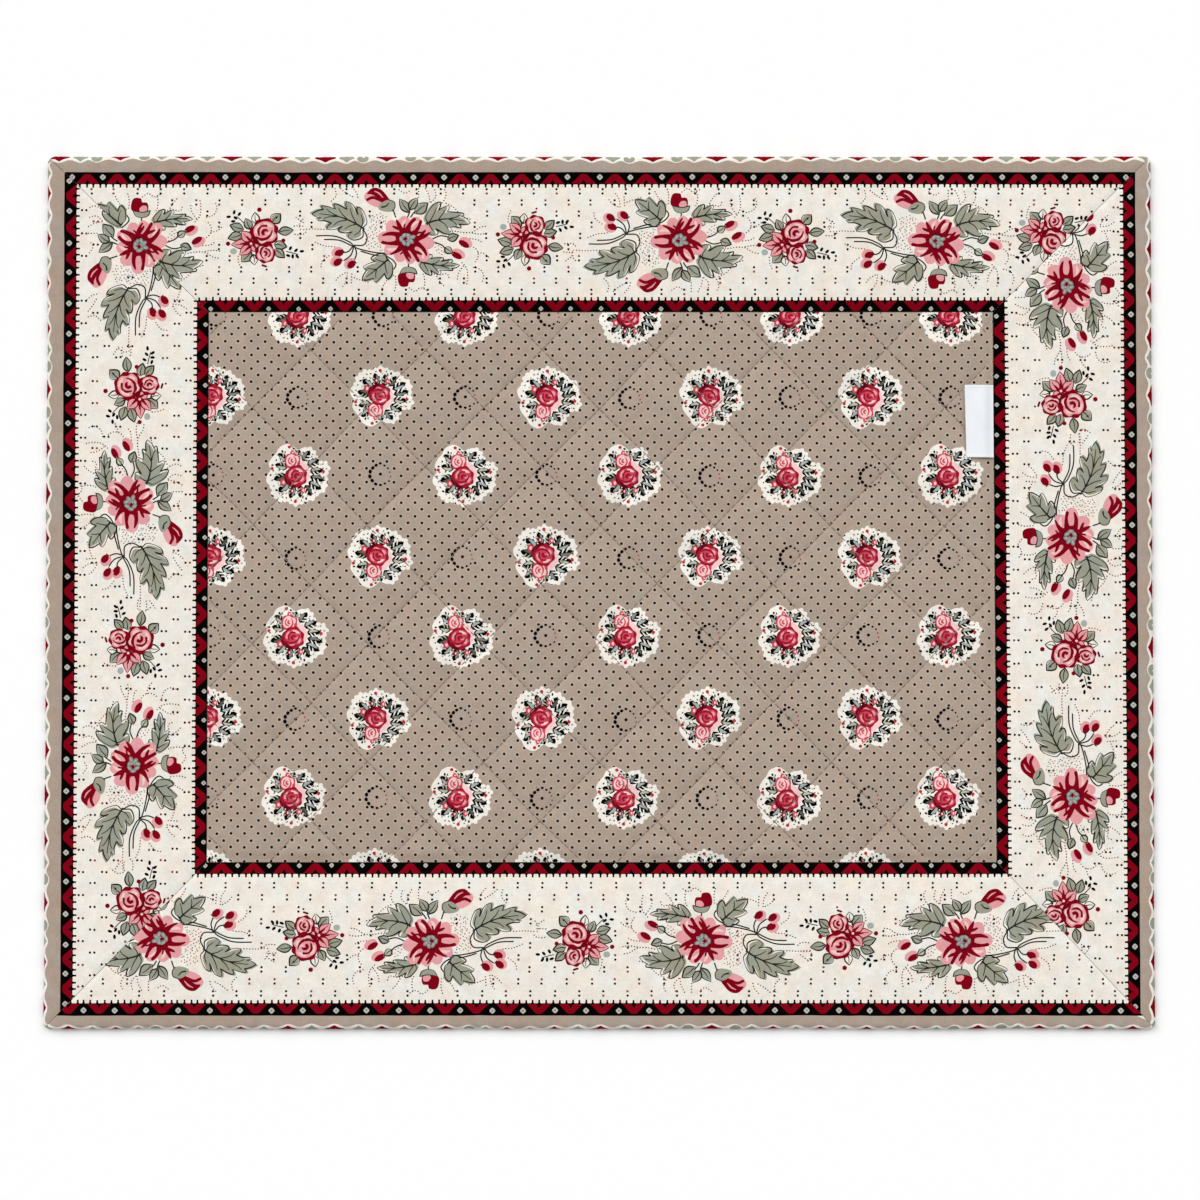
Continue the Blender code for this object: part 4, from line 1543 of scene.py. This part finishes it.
@dataclass(frozen=True)
class SideTab:
    """The blank tab of woven tape, caught in the panel's right seam and lying on the panel."""

    panel: QuiltedPanel
    name: str = "side_tape"
    length: float = 31.6
    reach: float = 12.6
    from_top_seam: float = 32.0
    lean: float = 0.6
    thickness: float = 0.4
    clearance: float = 0.42
    bridged_rise: float = 0.45
    turned_edge: float = 1.1
    turned_height: float = 0.12
    seam_clearance: float = 0.15
    rounding: float = 0.1

    def build(self) -> bpy.types.Object:
        """Adds a grid at the tab's size, bends it over the panel and gives it its thickness.

        Returns:
            The tab's object.
        """
        bpy.ops.object.select_all(action="DESELECT")
        bpy.ops.mesh.primitive_grid_add(x_subdivisions=26, y_subdivisions=58, size=1.0)
        tab = bpy.context.active_object
        tab.name = self.name
        shares = np.array([tuple(vertex.co)[:2] for vertex in tab.data.vertices]) + 0.5
        seam_top, seam_bottom = PLAN.inner("top_right"), PLAN.inner("bottom_right")
        down = 1 - shares[:, 1]
        y = seam_top[1] - self.from_top_seam - self.length * down
        seam_share = (seam_top[1] - y) / (seam_top[1] - seam_bottom[1])
        seam_x = seam_top[0] + (seam_bottom[0] - seam_top[0]) * seam_share
        from_seam = (self.reach - self.lean * down) * (1 - shares[:, 0])
        x = seam_x - self.seam_clearance - from_seam
        height = self.panel.height(np.column_stack((x, y)), from_seam, self.bridged_rise) + self.clearance
        edge = np.minimum.reduce((from_seam.max() - from_seam, self.length * down, self.length * (1 - down)))
        height = height + self.turned_height * smooth_step((self.turned_edge - edge) / 0.25 + 0.5)
        tab.data.vertices.foreach_set("co", (np.column_stack((x, y, height)) * MM).astype(np.float32).ravel())
        tab.data.update()
        bpy.ops.object.select_all(action="DESELECT")
        tab.select_set(True)
        bpy.context.view_layer.objects.active = tab
        solid = tab.modifiers.new("tape", "SOLIDIFY")
        solid.thickness = self.thickness * MM
        solid.offset = 1.0
        soft = tab.modifiers.new("soft_edge", "BEVEL")
        soft.width = self.rounding * MM
        soft.segments = 2
        for modifier in ("tape", "soft_edge"):
            bpy.ops.object.modifier_apply(modifier=modifier)
        bpy.ops.object.shade_smooth_by_angle(angle=radians(50))
        return tab


def add_node(tree: bpy.types.NodeTree, kind: str, inputs: dict, **settings: object) -> bpy.types.Node:
    """Adds a shader node with its settings, values and links.

    Args:
        tree: The material's node tree.
        kind: The node's type.
        inputs: Values or source sockets for its inputs, by name or number.
        settings: Its properties.

    Returns:
        The new node.
    """
    node = tree.nodes.new(kind)
    for name, value in settings.items():
        setattr(node, name, value)
    for socket, source in inputs.items():
        if isinstance(source, bpy.types.NodeSocket):
            tree.links.new(source, node.inputs[socket])
        else:
            node.inputs[socket].default_value = source
    return node


def new_material(name: str) -> tuple[bpy.types.Material, bpy.types.NodeTree, bpy.types.Node]:
    """A fresh material.

    Args:
        name: Its name.

    Returns:
        The material, its node tree and its shader.
    """
    material = bpy.data.materials.new(name)
    material.use_nodes = True
    return material, material.node_tree, material.node_tree.nodes["Principled BSDF"]


@dataclass(frozen=True)
class PrintedCotton:
    """Plain-woven cotton, printed and washed: matt, with a fine weave and slightly uneven ink."""

    name: str
    thread_pitch: float = 0.55
    weave_height: float = 0.02
    dot_pitch: tuple = (5.93, 5.87)
    dot_radius: float = 0.66
    halo_radius: float = 1.0
    dot_stray: float = 0.3
    dotted: bool = False
    warm: str = "#FFEEDD"
    cool: str = "#F3FFFF"

    def build(self) -> bpy.types.Material:
        """The material, whose patterns are measured in the mm of the cloth's plane."""
        material, tree, shader = new_material(self.name)
        plane = add_node(tree, "ShaderNodeUVMap", {}, uv_map="plane").outputs["UV"]
        ink = add_node(tree, "ShaderNodeAttribute", {}, attribute_name="print")
        colour = ink.outputs["Color"]
        if self.dotted:
            colour = self.pin_dots(tree, plane, ink)
        blotch = add_node(tree, "ShaderNodeTexNoise", {"Vector": plane, "Scale": 0.17, "Detail": 4.0})
        warmth = add_node(tree, "ShaderNodeTexNoise", {"Vector": plane, "Scale": 0.09, "Detail": 2.0})
        tint = add_node(tree, "ShaderNodeMix", {"Factor": warmth.outputs["Fac"], "A": linear(self.warm),
                                                "B": linear(self.cool)}, data_type="RGBA")
        shade = add_node(tree, "ShaderNodeMath", {0: blotch.outputs["Fac"], 1: 0.30, 2: 0.675},
                         operation="MULTIPLY_ADD").outputs[0]
        for stretch in ((1.1, 0.35, 1.0), (0.35, 1.1, 1.0)):
            runs = add_node(tree, "ShaderNodeMapping", {"Vector": plane, "Scale": stretch})
            yarn = add_node(tree, "ShaderNodeTexNoise", {"Vector": runs.outputs[0], "Scale": 1.0, "Detail": 4.0})
            shade = add_node(tree, "ShaderNodeMath", {0: yarn.outputs["Fac"], 1: 0.21, 2: shade},
                             operation="MULTIPLY_ADD").outputs[0]
        washed = add_node(tree, "ShaderNodeMix", {"Factor": 1.0, "A": colour, "B": tint.outputs["Result"]},
                          data_type="RGBA", blend_type="MULTIPLY")
        worn = add_node(tree, "ShaderNodeMix", {"Factor": 1.0, "A": washed.outputs["Result"], "B": shade},
                        data_type="RGBA", blend_type="MULTIPLY")
        tree.links.new(worn.outputs["Result"], shader.inputs["Base Color"])
        shader.inputs["Roughness"].default_value = 0.95
        shader.inputs["Specular IOR Level"].default_value = 0.03
        tree.links.new(self.weave(tree, plane), shader.inputs["Normal"])
        return material

    def weave(self, tree: bpy.types.NodeTree, plane: bpy.types.NodeSocket) -> bpy.types.NodeSocket:
        """Bump of crossing threads, drawn coarser than real ones so that it shows close up.

        Args:
            tree: The material's node tree.
            plane: The cloth's plane in mm.

        Returns:
            The bumped normal.
        """
        split = add_node(tree, "ShaderNodeSeparateXYZ", {"Vector": plane})
        waves = []
        for axis in ("X", "Y"):
            angle = add_node(tree, "ShaderNodeMath", {0: split.outputs[axis], 1: 2 * pi / self.thread_pitch},
                             operation="MULTIPLY")
            waves.append(add_node(tree, "ShaderNodeMath", {0: angle.outputs[0]}, operation="SINE").outputs[0])
        threads = add_node(tree, "ShaderNodeMath", {0: waves[0], 1: waves[1]}, operation="MULTIPLY")
        slub = add_node(tree, "ShaderNodeTexNoise", {"Vector": plane, "Scale": 0.9, "Detail": 3.0})
        height = add_node(tree, "ShaderNodeMath", {0: slub.outputs["Fac"], 1: 2.5, 2: threads.outputs[0]},
                          operation="MULTIPLY_ADD")
        bump = add_node(tree, "ShaderNodeBump", {"Height": height.outputs[0], "Strength": 0.35,
                                                 "Distance": self.weave_height * MM})
        return bump.outputs["Normal"]

    def pin_dots(self, tree: bpy.types.NodeTree, plane: bpy.types.NodeSocket,
                 ink: bpy.types.Node) -> bpy.types.NodeSocket:
        """Black pin dots in pale halos on a diagonal lattice, each a little off its place.

        Args:
            tree: The material's node tree.
            plane: The cloth's plane in mm.
            ink: The print's attribute. Where its alpha is 0 the ground is dotted.

        Returns:
            The print's colour with its dots.
        """
        def math(operation: str, *values: object) -> bpy.types.NodeSocket:
            """The result of one sum on sockets and numbers."""
            return add_node(tree, "ShaderNodeMath", dict(enumerate(values)), operation=operation).outputs[0]

        split = add_node(tree, "ShaderNodeSeparateXYZ", {"Vector": plane})
        across = math("DIVIDE", split.outputs["X"], self.dot_pitch[0])
        up = math("DIVIDE", split.outputs["Y"], self.dot_pitch[1])
        rising, falling = math("ADD", across, up), math("SUBTRACT", across, up)
        cells = [math("ROUND", value) for value in (rising, falling)]
        rests = [math("SUBTRACT", value, cell) for value, cell in zip((rising, falling), cells)]
        cell = add_node(tree, "ShaderNodeCombineXYZ", {"X": cells[0], "Y": cells[1]})
        stray = add_node(tree, "ShaderNodeTexWhiteNoise", {"Vector": cell.outputs[0]}, noise_dimensions="2D")
        strays = add_node(tree, "ShaderNodeSeparateXYZ", {"Vector": stray.outputs["Color"]})
        off_x = math("MULTIPLY", math("ADD", *rests), self.dot_pitch[0] / 2)
        off_y = math("MULTIPLY", math("SUBTRACT", *rests), self.dot_pitch[1] / 2)
        off_x = math("ADD", off_x, math("MULTIPLY", math("SUBTRACT", strays.outputs["X"], 0.5), self.dot_stray))
        off_y = math("ADD", off_y, math("MULTIPLY", math("SUBTRACT", strays.outputs["Y"], 0.5), self.dot_stray))
        reach = math("SQRT", math("ADD", math("MULTIPLY", off_x, off_x), math("MULTIPLY", off_y, off_y)))
        bare = math("SUBTRACT", 1.0, ink.outputs["Alpha"])
        colour = ink.outputs["Color"]
        for radius, soft, tone in ((self.halo_radius, 0.2, Ink.PALE_TAUPE), (self.dot_radius, 0.08, Ink.DOT_BROWN)):
            step = add_node(tree, "ShaderNodeMapRange", {"Value": reach, "From Min": radius + soft,
                                                         "From Max": radius - soft})
            share = math("MULTIPLY", step.outputs["Result"], bare)
            colour = add_node(tree, "ShaderNodeMix", {"Factor": share, "A": colour, "B": linear(tone.value)},
                              data_type="RGBA").outputs["Result"]
        return colour


@dataclass(frozen=True)
class BackingCotton:
    """Plain unbleached cotton of the underside."""

    name: str = "backing_cotton"
    colour: str = "#E6DFD0"

    def build(self) -> bpy.types.Material:
        """The material."""
        material, tree, shader = new_material(self.name)
        plane = add_node(tree, "ShaderNodeUVMap", {}, uv_map="plane").outputs["UV"]
        grain = add_node(tree, "ShaderNodeTexNoise", {"Vector": plane, "Scale": 1.4, "Detail": 4.0})
        tone = add_node(tree, "ShaderNodeMath", {0: grain.outputs["Fac"], 1: 0.12, 2: 0.92},
                        operation="MULTIPLY_ADD")
        mixed = add_node(tree, "ShaderNodeMix", {"Factor": 1.0, "A": linear(self.colour), "B": tone.outputs[0]},
                         data_type="RGBA", blend_type="MULTIPLY")
        tree.links.new(mixed.outputs["Result"], shader.inputs["Base Color"])
        bump = add_node(tree, "ShaderNodeBump", {"Height": grain.outputs["Fac"], "Strength": 0.3,
                                                 "Distance": 0.05 * MM})
        tree.links.new(bump.outputs["Normal"], shader.inputs["Normal"])
        shader.inputs["Roughness"].default_value = 0.95
        shader.inputs["Specular IOR Level"].default_value = 0.15
        return material


@dataclass(frozen=True)
class QuiltingCotton:
    """Brown twisted cotton sewing thread, a little shiny along its twist."""

    name: str = "quilting_cotton"
    colour: str = "#857367"

    def build(self) -> bpy.types.Material:
        """The material."""
        material, tree, shader = new_material(self.name)
        place = add_node(tree, "ShaderNodeTexCoord", {}).outputs["Object"]
        fuzz = add_node(tree, "ShaderNodeTexNoise", {"Vector": place, "Scale": 1400.0, "Detail": 2.0})
        tone = add_node(tree, "ShaderNodeMath", {0: fuzz.outputs["Fac"], 1: 0.5, 2: 0.75}, operation="MULTIPLY_ADD")
        mixed = add_node(tree, "ShaderNodeMix", {"Factor": 1.0, "A": linear(self.colour), "B": tone.outputs[0]},
                         data_type="RGBA", blend_type="MULTIPLY")
        tree.links.new(mixed.outputs["Result"], shader.inputs["Base Color"])
        shader.inputs["Roughness"].default_value = 0.75
        return material


@dataclass(frozen=True)
class SatinTape:
    """Woven polyester tape with a satin face: cool white, fine ribs and a soft gloss."""

    name: str = "satin_tape"
    colour: str = "#EDF0F4"
    rib_pitch: float = 0.5

    def build(self) -> bpy.types.Material:
        """The material."""
        material, tree, shader = new_material(self.name)
        place = add_node(tree, "ShaderNodeTexCoord", {}).outputs["Object"]
        split = add_node(tree, "ShaderNodeSeparateXYZ", {"Vector": place})
        angle = add_node(tree, "ShaderNodeMath", {0: split.outputs["Y"], 1: 2 * pi / (self.rib_pitch * MM)},
                         operation="MULTIPLY")
        rib = add_node(tree, "ShaderNodeMath", {0: angle.outputs[0]}, operation="SINE")
        cloud = add_node(tree, "ShaderNodeTexNoise", {"Vector": place, "Scale": 160.0, "Detail": 2.0})
        tone = add_node(tree, "ShaderNodeMath", {0: cloud.outputs["Fac"], 1: 0.06, 2: 0.96},
                        operation="MULTIPLY_ADD")
        mixed = add_node(tree, "ShaderNodeMix", {"Factor": 1.0, "A": linear(self.colour), "B": tone.outputs[0]},
                         data_type="RGBA", blend_type="MULTIPLY")
        tree.links.new(mixed.outputs["Result"], shader.inputs["Base Color"])
        bump = add_node(tree, "ShaderNodeBump", {"Height": rib.outputs[0], "Strength": 0.25,
                                                 "Distance": 0.03 * MM})
        tree.links.new(bump.outputs["Normal"], shader.inputs["Normal"])
        shader.inputs["Roughness"].default_value = 0.5
        shader.inputs["Specular IOR Level"].default_value = 0.35
        return material


@dataclass(frozen=True)
class Studio:
    """A plain pale floor, soft light from two windows beyond the mat and the camera almost straight above."""

    lens: float = 85.0
    distance: float = 1.2307
    tilt: float = 1.6
    look_at: tuple = (0.0, -0.0008, 0.004)
    shift: tuple = (0.0006, -0.0062)
    floor_size: float = 6.0
    floor_colour: str = "#FCFCFC"
    sky: float = 0.42
    window_spread: float = 46.0
    windows: tuple = (((-0.72, 0.72, 1.0), 1.75), ((0.68, 0.8, 1.0), 0.97))

    def build(self) -> None:
        """Sets up the floor, the lights, the world and the camera."""
        scene = bpy.context.scene
        bpy.ops.object.select_all(action="DESELECT")
        bpy.ops.mesh.primitive_plane_add(size=self.floor_size, location=(0, 0, -0.0002))
        floor = bpy.context.active_object
        floor.name = "floor"
        material, _, shader = new_material("pale_floor")
        shader.inputs["Base Color"].default_value = linear(self.floor_colour)
        shader.inputs["Roughness"].default_value = 0.9
        shader.inputs["Specular IOR Level"].default_value = 0.1
        floor.data.materials.append(material)
        world = bpy.data.worlds.new("studio")
        world.use_nodes = True
        world.node_tree.nodes["Background"].inputs["Color"].default_value = (1.0, 1.0, 1.0, 1.0)
        world.node_tree.nodes["Background"].inputs["Strength"].default_value = self.sky
        scene.world = world
        for place, strength in self.windows:
            data = bpy.data.lights.new("window_light", "SUN")
            data.energy = strength
            data.angle = radians(self.window_spread)
            light = bpy.data.objects.new("window_light", data)
            light.rotation_euler = (-Vector(place)).to_track_quat("-Z", "Y").to_euler()
            scene.collection.objects.link(light)
        camera = bpy.data.objects.new("camera", bpy.data.cameras.new("camera"))
        scene.collection.objects.link(camera)
        camera.data.lens = self.lens
        camera.data.sensor_width = 36.0
        camera.data.shift_x, camera.data.shift_y = self.shift
        tilt = radians(self.tilt)
        camera.location = Vector(self.look_at) + Vector((0, -sin(tilt), cos(tilt))) * self.distance
        camera.rotation_euler = (tilt, 0.0, 0.0)
        camera.data.clip_start, camera.data.clip_end = 0.05, 20.0
        scene.camera = camera
        scene.view_settings.view_transform = "Standard"


def strips() -> list[BorderStrip]:
    """The four border strips, clockwise from the top."""
    spray, posy = Motif.SPRAY, Motif.POSY
    return [
        BorderStrip(
            name="top_strip", node="border_top", start="top_left", end="top_right", braid_starts=(7.2, 7.2),
            wave_inset=2.35, edge_repeat=(148.2, 116.2), outer_dots=(13.55, 10.5), inner_dots=(13.1, 71.1),
            pair_rows=(15.7, 4.89), pair_run=(9.15, 10.15),
            placings=(
                Placing(spray, -200.2, 150.9, True), Placing(posy, -147.0, 154.2), Placing(spray, -83.8, 153.0),
                Placing(posy, -29.4, 152.5, True), Placing(spray, 35.1, 153.0, True), Placing(posy, 84.5, 153.7),
                Placing(spray, 147.2, 152.1), Placing(posy, 196.8, 154.3, True),
            ),
        ),
        BorderStrip(
            name="right_strip", node="border_right", start="top_right", end="bottom_right",
            braid_starts=(7.1, 6.7), wave_inset=2.1, edge_repeat=(104.9, 109.7), outer_dots=(13.04, 4.7),
            inner_dots=(13.19, 83.0), pair_rows=(15.66, 4.92), pair_run=(2.65, 10.2),
            placings=(
                Placing(spray, 204.2, 132.8, True), Placing(posy, 204.0, 82.2), Placing(spray, 204.6, 23.3),
                Placing(posy, 204.3, -26.6, True), Placing(spray, 205.4, -89.5, True),
                Placing(posy, 203.8, -139.2),
            ),
        ),
        BorderStrip(
            name="bottom_strip", node="border_bottom", start="bottom_right", end="bottom_left",
            braid_starts=(6.0, 6.0), wave_inset=1.45, edge_repeat=(77.1, 115.2), outer_dots=(13.62, 14.8),
            inner_dots=(13.7, 83.0), pair_rows=(15.65, 5.19), pair_run=(6.92, 10.56),
            placings=(
                Placing(spray, 157.5, -152.1, True), Placing(posy, 105.0, -151.3), Placing(spray, 44.9, -151.3),
                Placing(posy, -9.2, -151.3, True), Placing(spray, -73.3, -152.1, True),
                Placing(posy, -126.1, -152.1), Placing(spray, -190.1, -150.4),
            ),
        ),
        BorderStrip(
            name="left_strip", node="border_left", start="bottom_left", end="top_left", braid_starts=(7.6, 7.6),
            wave_inset=1.8, edge_repeat=(54.9, 111.4), outer_dots=(13.26, 10.6), inner_dots=(13.25, 80.5),
            pair_rows=(16.38, 5.08), pair_run=(8.44, 9.93),
            placings=(
                Placing(posy, -201.0, -135.3), Placing(spray, -201.8, -75.6), Placing(posy, -201.6, -22.3, True),
                Placing(spray, -204.0, 38.1, True), Placing(posy, -202.9, 88.2), Placing(spray, -200.2, 150.9),
            ),
        ),
    ]


def dress(piece: bpy.types.Object, materials: list) -> None:
    """Gives a piece its materials and its body.

    Args:
        piece: The piece.
        materials: Its materials, in the order of its faces' numbers.
    """
    piece.data.materials.clear()
    for material in materials:
        piece.data.materials.append(material)
    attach(piece, BODY)


def main() -> None:
    """Builds and dresses the mat, then sets up the studio."""
    logging.basicConfig(level=logging.INFO, format="%(name)s: %(message)s")
    backing = BackingCotton().build()
    border_cotton = PrintedCotton("printed_border_cotton").build()
    panel_cotton = PrintedCotton("dotted_panel_cotton", dotted=True, warm="#FFF5ED", cool="#F7FFFF").build()
    for strip in strips():
        piece = strip.build()
        dress(piece, [border_cotton, backing])
        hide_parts(strip.node)
        inner = strip.ends(np.array(strip.band))
        log.info("%s: %d faces", piece.name, len(piece.data.polygons))
    panel = QuiltedPanel()
    cloth = panel.build()
    dress(cloth, [panel_cotton, backing])
    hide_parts("centre_panel")
    thread = Stitching(panel).build()
    dress(thread, [QuiltingCotton().build()])
    log.info("%s: %d faces", cloth.name, len(cloth.data.polygons))
    log.info("%s: %d faces", thread.name, len(thread.data.polygons))
    tab = SideTab(panel)
    tape = tab.build()
    dress(tape, [SatinTape().build()])
    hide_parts("side_tab")
    log.info("%s: %d faces", tape.name, len(tape.data.polygons))
    Studio().build()


if __name__ == "__main__":
    main()
